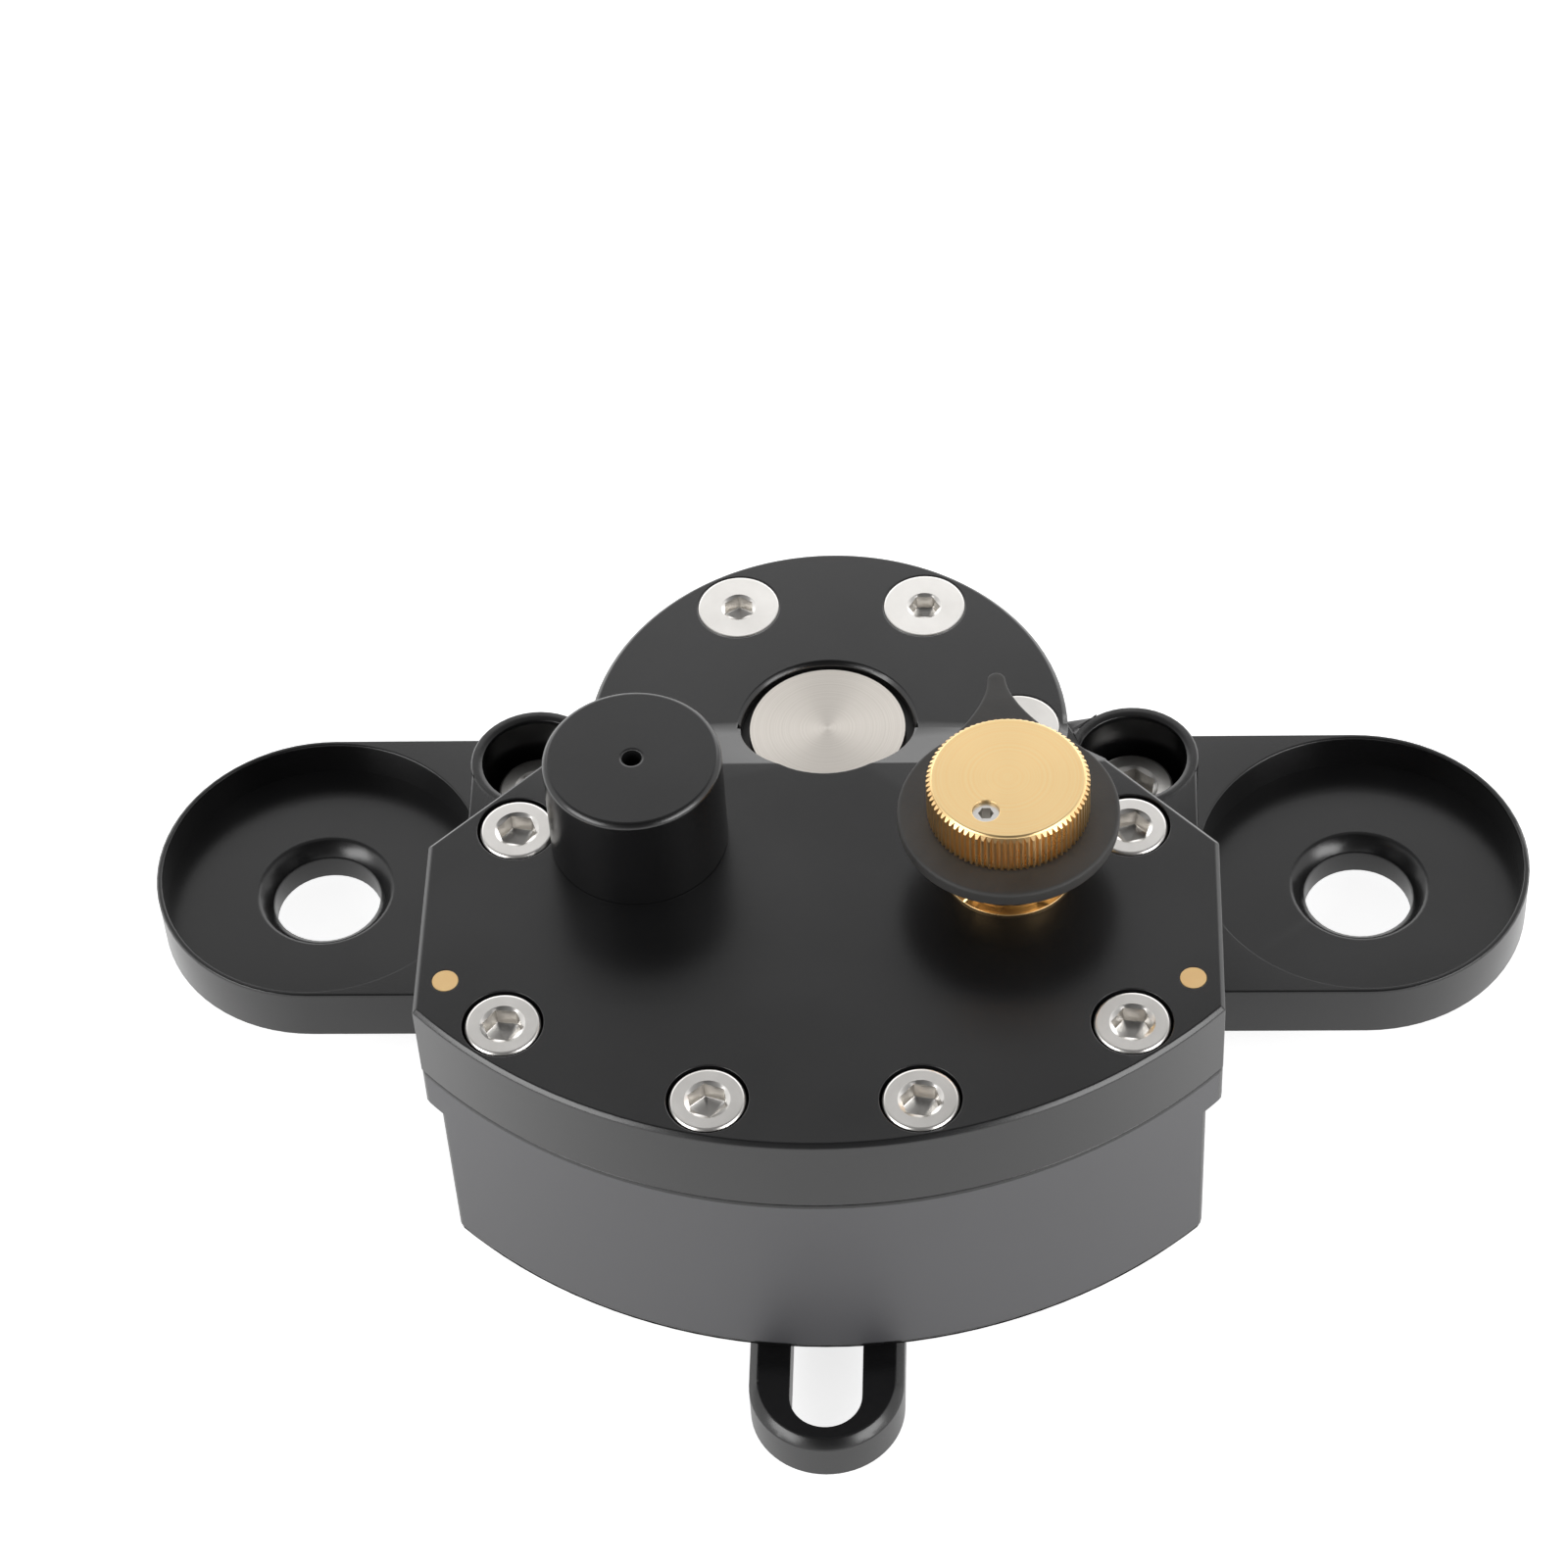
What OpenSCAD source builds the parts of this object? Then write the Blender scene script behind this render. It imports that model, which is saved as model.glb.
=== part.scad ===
// Rotary steering damper on a bracket that sits under two handlebar risers.
// Row frame: origin midway between the riser bores on the seating face, +Z up along the bores,
// +X to the right, +Y away from the rider. The shaft runs parallel to the bores.
// Damper frame: same directions, origin on the shaft axis at the parting plane of cover and housing.

/* [Bracket] */
// Distance between the two riser bores
bore_spacing = 126.4; // [124:0.2:140]
// Diameter of each riser bore, for an M12 bolt
riser_bore_d = 13; // [10.5:0.1:14]
// Depth of the chamfer at the mouth of each riser bore
bore_chamfer = 1.75; // [0.5:0.05:2.5]
// Radius of the round end of each wing
wing_r = 20.2; // [19.5:0.1:24]
// Thickness of each wing at its rim
wing_t = 7.8; // [7.5:0.1:10]
// Width of the rim round each pocket
pocket_rim = 0.8; // [0.6:0.1:3]
// Depth of the pocket that takes a riser's foot
pocket_depth = 4.9; // [2:0.1:5]
// Radius of the round boss under each wing
seat_boss_r = 11; // [10:0.5:13]
// Height of the round boss under each wing
seat_boss_h = 2.4; // [1:0.1:4]
// How far the riser bores lie behind the shaft axis
bore_behind = 5.4; // [4:0.1:7]
// Depth of the wings' rims below the lobes
wing_drop = 17.8; // [17:0.1:20]
// Thickness of the centre plate
plate_t = 16; // [14:0.5:18]
// Outer radius of the centre plate round the shaft
plate_r = 30.5; // [29:0.5:34]
// Distance of each lobe from the middle plane
lobe_x = 35.5; // [34.5:0.1:40]
// Distance of each lobe behind the shaft axis
lobe_y = 7; // [5:0.1:9]
// Radius of each lobe
lobe_r = 7.8; // [7.4:0.1:9]
// Diameter of the counterbore in each lobe
lobe_counterbore_d = 12.4; // [11:0.1:13]
// Depth of the screw head's top below the lobe
lobe_head_depth = 5.6; // [3:0.1:6.5]
// Reach of the web behind the line from the shaft to each lobe
lobe_web = 7.2; // [6:0.1:7.4]

/* [Cover and housing] */
// Radius of the cover round the shaft
rear_r = 27.8; // [27.2:0.1:29.5]
// Width of the cover across its flat sides
cover_w = 89; // [88:0.5:94]
// Where the slanted edges of the cover would meet the middle plane
slant_reach = 24.2; // [23:0.1:25]
// Radius of the curved front, about the shaft
front_r = 62.5; // [61.5:0.5:70]
// Thickness of the cover in front
cover_front_t = 10.8; // [10.5:0.1:14]
// Thickness of the cover round the shaft
cover_rear_t = 7.1; // [6.6:0.1:8.5]
// Length of the ramp between the two levels
ramp_run = 8.6; // [5:0.2:9]
// Chamfer along the outer edges
edge_chamfer = 0.5; // [0.2:0.1:0.8]
// Thickness of the housing's flange
flange_t = 6.2; // [5.6:0.1:7]
// Depth of the housing below the parting plane
body_h = 28; // [27:0.5:34]
// Width of the housing below its flange
body_w = 85.4; // [84:0.2:87.5]
// Thickness of the housing's floor
floor_t = 6; // [5.5:0.5:7]
// Radius of the boss round the shaft
boss_r = 16; // [15.6:0.2:17]
// Thickness of the wall beside the vane chamber
side_wall_t = 6; // [5:0.5:7]
// Radius of the vane chamber
chamber_r = 51; // [47:0.5:51.4]
// Width of the cover seal's cord
seal_w = 1.8; // [1.2:0.1:1.9]
// Distance of the cover seal from the chamber
seal_gap = 1; // [0.6:0.1:1.1]
// Radial room round a seal or bush that sits in a seat
seat_clearance = 0.02; // [0.01:0.01:0.05]

/* [Shaft, vane and arm] */
// Diameter of the shaft
shaft_d = 18; // [16:0.1:18.6]
// Radial running clearance of the shaft in its bushes
running_clearance = 0.05; // [0.02:0.01:0.1]
// Radial gap round the shaft's end in the cover
shaft_gap = 1; // [0.5:0.1:1.3]
// Outer radius of the bushes and shaft seals
bush_r = 11.4; // [11:0.1:11.8]
// Length of each bush
bush_l = 3.6; // [3:0.1:3.8]
// Length of each shaft seal
shaft_seal_l = 1.8; // [1.4:0.1:1.9]
// Swing of the arm to each side, in degrees
swing = 40; // [25:1:40]
// Half of the vane's wedge angle, in degrees
vane_half_angle = 6; // [4:0.5:7]
// Angle left between the vane and the chamber wall at full swing, in degrees
stop_angle = 1; // [0.5:0.5:2]
// Outer radius of the vane's hub
vane_hub_r = 12; // [11.8:0.1:12.2]
// Gap round the vane in its chamber
vane_gap = 0.3; // [0.2:0.05:0.5]
// Side of the square key between shaft and vane
key_w = 3; // [2:0.2:3.2]
// Width of the link arm
arm_w = 17.6; // [16:0.1:20]
// Thickness of the link arm
arm_t = 6; // [5.5:0.5:8]
// Distance from the shaft axis to the end of the arm
arm_reach = 74; // [70:0.5:84]
// Width of the slot in the arm
slot_w = 8.2; // [6:0.1:10]
// Length of the slot from end to end
slot_l = 30; // [20:1:36]
// Wall left past the end of the slot
slot_end_wall = 2.6; // [2:0.1:5]
// Radius of the arm's clamp round the shaft
arm_hub_r = 15; // [14:0.5:17]
// Gap between the housing and the arm
arm_gap = 2; // [0.6:0.1:2.5]
// Width of the saw cut in the arm's clamp
clamp_slit = 2; // [1.5:0.1:3]
// Thickness of the retaining ring under the arm
ring_t = 1.2; // [1:0.1:1.5]
// Depth of the groove that holds the retaining ring
ring_groove = 0.9; // [0.6:0.1:1.2]

/* [Compensator] */
// Distance of the compensator to the left of the middle plane
cap_x = 20.6; // [20:0.1:22]
// Distance of the compensator in front of the shaft axis
cap_y = 19.2; // [18.8:0.1:22]
// Outer radius of the compensator's cap
cap_r = 10; // [9.5:0.1:10.5]
// Height of the cap above the cover
cap_h = 13.6; // [13:0.1:18]
// Wall of the cap
cap_wall = 2; // [1.5:0.1:2.5]
// Depth of the cap's spigot in the cover
cap_spigot = 4; // [3:0.1:5]
// Diameter of the vent in the cap's top
cap_vent_d = 2; // [1:0.1:3]
// Length of the compensator's piston
piston_l = 4; // [3.5:0.1:5]
// Diameter of the spring wire
spring_wire_d = 0.9; // [0.6:0.1:1]
// Number of turns of the spring
spring_turns = 3.5; // [2.5:0.5:4]

/* [Adjuster] */
// Distance of the adjuster to the right of the middle plane
knob_x = 21; // [19:0.1:22]
// Distance of the adjuster in front of the shaft axis
knob_y = 23.6; // [22:0.1:25]
// Diameter of the knob
knob_d = 18; // [16:0.1:20]
// Height of the knob above its pointer ring
knob_h = 5.4; // [5:0.1:8]
// Diameter of the pointer ring
pointer_ring_d = 24.6; // [22:0.1:26]
// Thickness of the pointer ring
pointer_ring_t = 1.9; // [1.2:0.1:2.5]
// Distance from the knob's axis to the pointer's tip
pointer_reach = 20.6; // [18:0.1:23]
// Width of the pointer where it leaves the ring
pointer_w = 7.6; // [5:0.2:10]
// Angle of the pointer to the left of straight back, in degrees
pointer_angle = 4; // [-20:1:20]
// Diameter of the brass base
base_d = 15.2; // [15:0.1:17.5]
// Height of the brass base above the cover
base_h = 7.2; // [6.5:0.1:9]
// Gap between the base and the pointer ring
pointer_gap = 0.5; // [0.3:0.1:1]
// Diameter of the base's threaded spigot
base_spigot_d = 10.6; // [10:0.1:10.8]
// Depth of the base's spigot in the cover
base_spigot = 6; // [5:0.1:6.5]
// Diameter of the needle's body
needle_d = 4; // [3.4:0.1:4.4]
// Diameter of the port that the needle closes
port_d = 2.4; // [1.6:0.1:2.8]
// Travel of the needle to each side of rest
needle_travel = 0.4; // [0.2:0.05:0.5]
// Set screw's place left of the knob's axis
set_screw_x = 2.4; // [1.5:0.1:3]
// Set screw's place in front of the knob's axis
set_screw_y = 4.8; // [4.6:0.1:5.4]
// Diameter of the knob's set screw
set_screw_d = 3; // [2:0.1:3]

/* [Fasteners] */
// Thread diameter of the cover, mounting and clamp screws
screw_d = 5; // [4:0.5:5]
// Head diameter of the cover screws
cap_head_d = 8.5; // [7:0.1:8.8]
// Head height of the cover screws
cap_head_h = 5; // [4:0.1:5.4]
// Thread engaged by each cover screw in the flange
cover_thread = 5; // [4:0.1:5]
// Head diameter of the countersunk mounting screws
flat_head_d = 9.6; // [8:0.1:9.7]
// Thread engaged by each mounting screw in the bracket
mounting_thread = 8; // [6:0.5:12]
// Radius of the circle of mounting screws
mounting_pcd_r = 22; // [21.2:0.1:22.1]
// Gap round each screw head and shank
screw_gap = 0.25; // [0.15:0.05:0.4]
// Gap round each countersunk head
flat_head_gap = 0.1; // [0.05:0.05:0.15]
// Across flats of the cover screws' sockets
cap_socket = 4; // [3:0.5:4.5]
// Across flats of the mounting screws' sockets
flat_socket = 3.2; // [2.5:0.1:3.5]
// Thread diameter of the bracket screws
bracket_screw_d = 6; // [5:0.5:6]
// Head diameter of the bracket screws
bracket_head_d = 10; // [8.5:0.1:10.2]
// Length of the bracket screws under the head
bracket_screw_l = 20; // [18:1:25]
// Gap round each bracket screw's shank
bracket_screw_gap = 0.5; // [0.3:0.05:0.8]
// Across flats of the bracket screws' sockets
bracket_socket = 5; // [4:0.5:5.5]
// Diameter of the dowel pins
dowel_d = 2.9; // [2:0.1:3]
// Length of the dowel pins
dowel_l = 14; // [12:0.5:15]

/* [Hidden] */
$fn = 96;

// Cuts run this far past the faces that they open
past = 1;
// A length that reaches past the whole part
far = 200;

// The lobes' straight flank lies this far inside their rounds
lobe_edge = 0.3;
// Step between the levels of the plate, its lobes and their webs
level_step = 0.1;

// Where the damper frame lies in the row frame
rim_z = -(flange_t + wing_drop);
damper_y = -bore_behind;
damper_z = wing_t - rim_z;

// The pocket keeps its rim, and stays clear of the lobe beside it
pocket_r = min(wing_r - pocket_rim, bore_spacing / 2 - lobe_x - lobe_r - pocket_rim / 2);

// Outline of the cover and the flange
side_x = cover_w / 2;
slant_corner_y = slant_reach - side_x;
slant_start_x = (slant_reach + sqrt(2 * pow(rear_r, 2) - pow(slant_reach, 2))) / 2;
slant_start_y = slant_reach - slant_start_x;

// Screws keep clear of the seal, and the front edge keeps its wall round the screws
seal_screw_gap = 0.9;
screw_inset = 5.3;
thread_r = screw_d / 2;
front_screw_r = chamber_r + seal_gap + seal_w + seal_screw_gap + thread_r;
front_edge_r = max(front_r, front_screw_r + screw_inset);
front_corner_y = -sqrt(pow(front_edge_r, 2) - pow(side_x, 2));

// Places of the screws and pins, measured in from the outline
rear_screw_in = 9.9;
rear_screw_behind = 2.3;
dowel_in = 3.4;
dowel_behind = 5.956;
head_sink = 0.1;
front_screw_angles = [-36.9, -11.6, 11.6, 36.9];
rear_screw_x = side_x - rear_screw_in;
rear_screw_y = slant_corner_y + rear_screw_behind;
front_screw_places = [for (a = front_screw_angles) [front_screw_r * sin(a), -front_screw_r * cos(a)]];
rear_screw_places = [[-rear_screw_x, rear_screw_y], [rear_screw_x, rear_screw_y]];
cover_screw_places = concat(front_screw_places, rear_screw_places);
mounting_angles = [0, 60, 120, 180];
dowel_x = side_x - dowel_in;
dowel_y = dowel_behind - front_screw_r * cos(max(front_screw_angles));
screw_hole_r = thread_r + screw_gap;
cover_head_z = cover_front_t - head_sink;

// Chamber and vane
shaft_r = shaft_d / 2;
chamber_half_angle = swing + vane_half_angle + stop_angle;
chamber_floor_z = floor_t - body_h;
hub_bore_r = vane_hub_r + vane_gap;
vane_top_z = -vane_gap;
vane_bottom_z = chamber_floor_z + vane_gap;
vane_h = vane_top_z - vane_bottom_z;
vane_seal_w = 3;
vane_seal_depth = 2;
vane_tip_r = chamber_r - vane_gap - vane_seal_depth / 2;
key_l = 14;
key_z = vane_bottom_z + (vane_h - key_l) / 2;
seal_depth = 1.5;

// Link arm
arm_top_z = -body_h - arm_gap;
arm_bottom_z = arm_top_z - arm_t;
shaft_end_l = 1.6;
shaft_bottom_z = arm_bottom_z - ring_t - shaft_end_l;
clamp_lug_w = 15;
clamp_lug_l = 5;
clamp_lug_reach = arm_hub_r + clamp_lug_l;
clamp_screw_out = 5.6;
clamp_screw_y = shaft_r + clamp_screw_out;
clamp_screw_d = 4;
clamp_head_d = 5.4;
clamp_head_h = 3;
clamp_head_sink = 3;
clamp_socket = clamp_screw_d / 2;
ring_stand = 2.2;
ring_outer_r = shaft_r + ring_stand;
ring_gap_w = 6;

// Compensator
cap_inner_r = cap_r - cap_wall;
cap_top_z = cover_front_t + cap_h;
cap_bore_top_z = cap_top_z - cap_wall;
cap_bottom_z = cover_front_t - cap_spigot;
cap_shoulder_w = 1.2;
cap_spigot_r = cap_r - cap_shoulder_w;
cap_shoulder_gap = 0.6;
piston_r = cap_inner_r - running_clearance;
piston_z = cover_front_t;
piston_groove_w = 1.6;
piston_groove_depth = 1.2;
cap_port_d = 3;
cap_port_in = [4.5, -3];
spring_bottom_z = piston_z + piston_l;
spring_room = 0.7;
spring_r = cap_inner_r - spring_wire_d / 2 - spring_room;
spring_rings_per_turn = 12;
spring_sides = 6;

// Adjuster
base_top_z = cover_front_t + base_h;
pointer_z = base_top_z + pointer_gap;
knob_z = pointer_z + pointer_ring_t;
knob_top_z = knob_z + knob_h;
knob_edge = 0.6;
spindle_r = 3;
spindle_l = 6;
drive_r = 1.6;
drive_l = 4;
needle_clearance = 0.06;
needle_tip_z = 1.2;
needle_tip_r = 0.3;
needle_cone_l = 3;
needle_body_z = cover_front_t - base_spigot + needle_travel + screw_gap;
needle_shoulder_z = base_top_z - spindle_l - needle_travel - pointer_gap;
base_seal_w = 1.4;
base_seal_depth = 1.1;
base_seal_in = 0.7;
base_seal_r = base_d / 2 - base_seal_in;
needle_seal_h = 1.5;
needle_seal_w = 1.3;
needle_seal_below = 2;
needle_seal_z = cover_front_t - needle_seal_below;
base_step = 1.2;
base_neck_r = base_d / 2 - base_step;
base_neck_h = 2.6;
set_screw_end = 1.2;
set_screw_sink = 0.4;
set_screw_l = knob_h + pointer_ring_t - set_screw_end;
set_socket = set_screw_d / 2;
hex_sides = 6;
head_bevel = 0.4;
pointer_root = 0.75;

black = [0.07, 0.07, 0.075];
dark_grey = [0.18, 0.18, 0.19];
steel = [0.78, 0.77, 0.75];
brass = [0.9, 0.68, 0.38];
rubber = [0.03, 0.03, 0.03];
bronze = [0.66, 0.48, 0.28];

// Places what belongs to the damper in the row frame
module in_damper() {
    translate([0, damper_y, damper_z]) children();
}

// A cylinder between two heights
module round_bar(r, z0, z1) {
    translate([0, 0, z0]) cylinder(r = r, h = z1 - z0);
}

// A ring between two heights
module round_ring(inner_r, outer_r, z0, z1) {
    difference() {
        round_bar(outer_r, z0, z1);
        round_bar(inner_r, z0 - past, z1 + past);
    }
}

// A hexagonal socket, mouth upwards at the given height
module hex_socket(across_flats, depth, z) {
    translate([0, 0, z - depth]) cylinder(d = across_flats / cos(30), h = depth + past, $fn = hex_sides);
}

// A socket cap screw whose head sits on the plane z = 0
module cap_screw(d, head_d, head_h, length, socket) {
    difference() {
        union() {
            round_bar(d / 2, -length, past / 2);
            round_bar(head_d / 2, 0, head_h - head_bevel);
            translate([0, 0, head_h - head_bevel])
                cylinder(r1 = head_d / 2, r2 = head_d / 2 - head_bevel, h = head_bevel);
        }
        hex_socket(socket, head_h / 2, head_h);
    }
}

// A countersunk screw whose flat top lies on the plane z = 0
module flat_screw(d, head_d, length, socket) {
    cone_h = (head_d - d) / 2;
    difference() {
        union() {
            round_bar(d / 2, -length, -cone_h / 2);
            translate([0, 0, -cone_h]) cylinder(d1 = d, d2 = head_d, h = cone_h);
        }
        hex_socket(socket, cone_h, 0);
    }
}

// Cuts a chamfer along the top of a straight edge from a to b, with the solid on its left
module straight_chamfer(a, b, z, c) {
    along = b - a;
    translate([a[0], a[1], z]) rotate([0, 0, atan2(along[1], along[0])])
        rotate([45, 0, 0]) translate([-past, -c / sqrt(2), -c / sqrt(2)])
            cube([norm(along) + 2 * past, c * sqrt(2), c * sqrt(2)]);
}

// Cuts a chamfer along the top edge of a cylinder
module round_chamfer(r, z, c) {
    rotate_extrude()
        polygon([[r - c, z], [r, z - c], [r + past, z - c], [r + past, z + past], [r - c, z + past]]);
}

// Outline shared by the cover and the flange, between two heights
module damper_outline(z0, z1) {
    round_bar(rear_r, z0, z1);
    intersection() {
        round_bar(front_edge_r, z0, z1);
        translate([0, 0, z0]) linear_extrude(z1 - z0) polygon([
            [-side_x, -far], [side_x, -far], [side_x, slant_corner_y], [slant_start_x, slant_start_y],
            [-slant_start_x, slant_start_y], [-side_x, slant_corner_y]
        ]);
    }
}

// Wedge in front of the shaft whose walls stand off by a distance from the chamber's walls
module chamber_wedge(half_angle, offset_by, z0, z1) {
    apex_y = offset_by / sin(half_angle);
    reach_x = far * sin(half_angle);
    reach_y = apex_y - far * cos(half_angle);
    translate([0, 0, z0]) linear_extrude(z1 - z0)
        polygon([[0, apex_y], [-reach_x, reach_y], [reach_x, reach_y]]);
}

// The vane chamber's plan, grown by a distance
module chamber_plan(grow, z0, z1) {
    round_bar(hub_bore_r + grow, z0, z1);
    intersection() {
        round_bar(chamber_r + grow, z0, z1);
        chamber_wedge(chamber_half_angle, grow, z0, z1);
    }
}

// The housing below its flange, grown by a distance
module lower_body(grow, z0, z1) {
    round_bar(boss_r + grow, z0, z1);
    intersection() {
        round_bar(front_edge_r, z0, z1);
        chamber_wedge(chamber_half_angle, side_wall_t + grow, z0, z1);
        translate([-body_w / 2 - grow, -far, z0]) cube([body_w + 2 * grow, far + boss_r, z1 - z0]);
    }
}

// One wing of the bracket in the row frame, towards +X
module wing_block() {
    inner_x = lobe_x - lobe_r;
    translate([inner_x, -wing_r, 0]) cube([bore_spacing / 2 - inner_x, 2 * wing_r, wing_t]);
    translate([bore_spacing / 2, 0, 0]) {
        round_bar(wing_r, 0, wing_t);
        round_bar(seat_boss_r, -seat_boss_h, (wing_t - pocket_depth) / 2);
    }
}

// Lobe with its web to the round plate, towards +X, in the damper frame
module lobe_block(z0, z1) {
    inner_x = slant_start_x - past;
    flank_x = lobe_x + lobe_r - lobe_edge;
    flank_y = lobe_y + lobe_r / 6;
    between = norm([lobe_x, lobe_y]);
    web_inner = rear_r - lobe_r;
    web_outer = between - lobe_r / 6;
    translate([lobe_x, lobe_y, 0]) round_bar(lobe_r, z0, z1);
    translate([inner_x, flank_y - 2 * lobe_r, z0 + level_step])
        cube([flank_x - inner_x, 2 * lobe_r, z1 - z0 - 2 * level_step]);
    rotate([0, 0, atan2(lobe_y, lobe_x)]) translate([web_inner, -lobe_r / 2, z0 + 2 * level_step])
        cube([web_outer - web_inner, lobe_r / 2 + lobe_web, z1 - z0 - 4 * level_step]);
}

module bracket() {
    top_z = -flange_t;
    bottom_z = top_z - plate_t;
    seat_z = top_z - lobe_head_depth - bracket_screw_d;
    floor_z = wing_t - pocket_depth;
    color(black) difference() {
        union() {
            for (side = [0, 1]) mirror([side, 0, 0]) wing_block();
            in_damper() {
                for (side = [0, 1]) mirror([side, 0, 0])
                    lobe_block(rim_z - wing_t / 2, top_z - level_step);
                round_bar(plate_r, bottom_z, top_z);
            }
        }
        for (side = [-1, 1]) translate([side * bore_spacing / 2, 0, 0]) {
            round_bar(riser_bore_d / 2, -far, far);
            round_bar(pocket_r, floor_z, far);
            translate([0, 0, floor_z - bore_chamfer])
                cylinder(r1 = riser_bore_d / 2, r2 = riser_bore_d / 2 + bore_chamfer, h = bore_chamfer);
        }
        in_damper() {
            lower_body(vane_gap, bottom_z - far, top_z + past);
            for (side = [-1, 1]) translate([side * lobe_x, lobe_y, 0]) {
                round_bar(bracket_screw_d / 2 + bracket_screw_gap, bottom_z - far, top_z);
                round_bar(lobe_counterbore_d / 2, seat_z, top_z + past);
                round_chamfer_in(lobe_counterbore_d / 2, top_z - level_step, edge_chamfer);
            }
            for (a = mounting_angles) rotate([0, 0, a]) translate([mounting_pcd_r, 0, 0])
                round_bar(thread_r, top_z - mounting_thread - past, top_z + past);
        }
    }
}

// Cuts a chamfer at the mouth of a hole
module round_chamfer_in(r, z, c) {
    translate([0, 0, z - c]) cylinder(r1 = r, r2 = r + c, h = c);
    round_bar(r + c, z, z + past);
}

module bracket_screws() {
    seat_z = -flange_t - lobe_head_depth - bracket_screw_d;
    color(steel) in_damper() for (side = [-1, 1]) translate([side * lobe_x, lobe_y, seat_z])
        cap_screw(bracket_screw_d, bracket_head_d, bracket_screw_d, bracket_screw_l, bracket_socket);
}

module housing() {
    bush_top_z = chamber_floor_z;
    color(dark_grey) in_damper() difference() {
        union() {
            damper_outline(-flange_t, 0);
            lower_body(0, -body_h, -flange_t + past / 2);
        }
        chamber_plan(0, chamber_floor_z, past);
        difference() {
            chamber_plan(seal_gap + seal_w, -seal_depth, past);
            chamber_plan(seal_gap, -seal_depth - past, 2 * past);
        }
        round_bar(bush_r, bush_top_z - bush_l - shaft_seal_l, bush_top_z + past);
        round_bar(shaft_r + 4 * running_clearance, -body_h - past, chamber_floor_z);
        for (p = cover_screw_places) translate(p) round_bar(thread_r, -cover_thread - past, past);
        for (side = [-1, 1]) translate([side * dowel_x, dowel_y, 0])
            round_bar(dowel_d / 2 + seat_clearance, cover_front_t - dowel_l, past);
        for (a = mounting_angles) rotate([0, 0, a]) translate([mounting_pcd_r, 0, 0])
            round_bar(screw_hole_r, -flange_t - past, past);
        round_chamfer_below(front_edge_r, -body_h, edge_chamfer);
    }
}

// Cuts a chamfer along the bottom edge of a cylinder
module round_chamfer_below(r, z, c) {
    rotate_extrude()
        polygon([[r - c, z], [r, z + c], [r + past, z + c], [r + past, z - past], [r - c, z - past]]);
}

module top_cover() {
    color(black) in_damper() difference() {
        damper_outline(0, cover_front_t);
        rear_level_cut();
        cover_edge_chamfers();
        round_bar(bush_r, -past, bush_l + shaft_seal_l);
        round_bar(shaft_r + shaft_gap, 0, far);
        for (p = cover_screw_places) translate(p) {
            round_bar(screw_hole_r, -past, far);
            round_bar(cap_head_d / 2 + screw_gap, cover_head_z - cap_head_h, far);
        }
        for (a = mounting_angles) rotate([0, 0, a]) translate([mounting_pcd_r, 0, 0]) flat_screw_hole();
        for (side = [-1, 1]) translate([side * dowel_x, dowel_y, 0])
            round_bar(dowel_d / 2 + seat_clearance, -past, far);
        translate([-cap_x, -cap_y, 0]) {
            round_bar(cap_spigot_r + seat_clearance, cap_bottom_z, far);
            translate(cap_port_in) round_bar(cap_port_d / 2, -past, far);
        }
        translate([knob_x, -knob_y, 0]) {
            round_bar(base_spigot_d / 2 + seat_clearance, cover_front_t - base_spigot, far);
            round_bar(port_d / 2, -past, far);
        }
    }
}

// The lower level round the shaft and the ramp that climbs from it
module rear_level_cut() {
    rotate([90, 0, 90]) translate([0, 0, -far / 2]) linear_extrude(far) polygon([
        [0, cover_rear_t], [-ramp_run, cover_front_t], [-ramp_run, cover_front_t + past],
        [far, cover_front_t + past], [far, cover_rear_t]
    ]);
}

module cover_edge_chamfers() {
    round_chamfer(front_edge_r, cover_front_t, edge_chamfer);
    intersection() {
        round_chamfer(rear_r, cover_rear_t, edge_chamfer);
        translate([-far / 2, edge_chamfer, 0]) cube([far, far, far]);
    }
    ramp_edge_y = -ramp_run;
    ramp_edge_x = slant_reach - ramp_edge_y;
    for (side = [0, 1]) mirror([side, 0, 0]) {
        straight_chamfer([side_x, front_corner_y], [side_x, slant_corner_y], cover_front_t, edge_chamfer);
        straight_chamfer([side_x, slant_corner_y], [ramp_edge_x, ramp_edge_y], cover_front_t, edge_chamfer);
    }
    translate([0, 0, cover_rear_t - edge_chamfer])
        cylinder(r1 = shaft_r + shaft_gap, r2 = shaft_r + shaft_gap + edge_chamfer, h = edge_chamfer);
}

// Countersunk hole in the thin part of the cover
module flat_screw_hole() {
    head_r = flat_head_d / 2 + flat_head_gap;
    cone_z = cover_rear_t - (head_r - screw_hole_r);
    rotate_extrude() polygon([
        [0, -past], [screw_hole_r, -past], [screw_hole_r, cone_z], [head_r, cover_rear_t],
        [head_r, cover_front_t + past], [0, cover_front_t + past]
    ]);
}

module cover_screws() {
    head_z = cover_head_z - cap_head_h;
    color(steel) in_damper() for (p = cover_screw_places) translate([p[0], p[1], head_z])
        cap_screw(screw_d, cap_head_d, cap_head_h, head_z + cover_thread, cap_socket);
}

module mounting_screws() {
    color(steel) in_damper() for (a = mounting_angles) rotate([0, 0, a])
        translate([mounting_pcd_r, 0, cover_rear_t])
            flat_screw(screw_d, flat_head_d, cover_rear_t + flange_t + mounting_thread, flat_socket);
}

module dowel_pins() {
    color(brass) in_damper() for (side = [-1, 1]) translate([side * dowel_x, dowel_y, 0])
        round_bar(dowel_d / 2, cover_front_t - dowel_l, cover_front_t);
}

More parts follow.
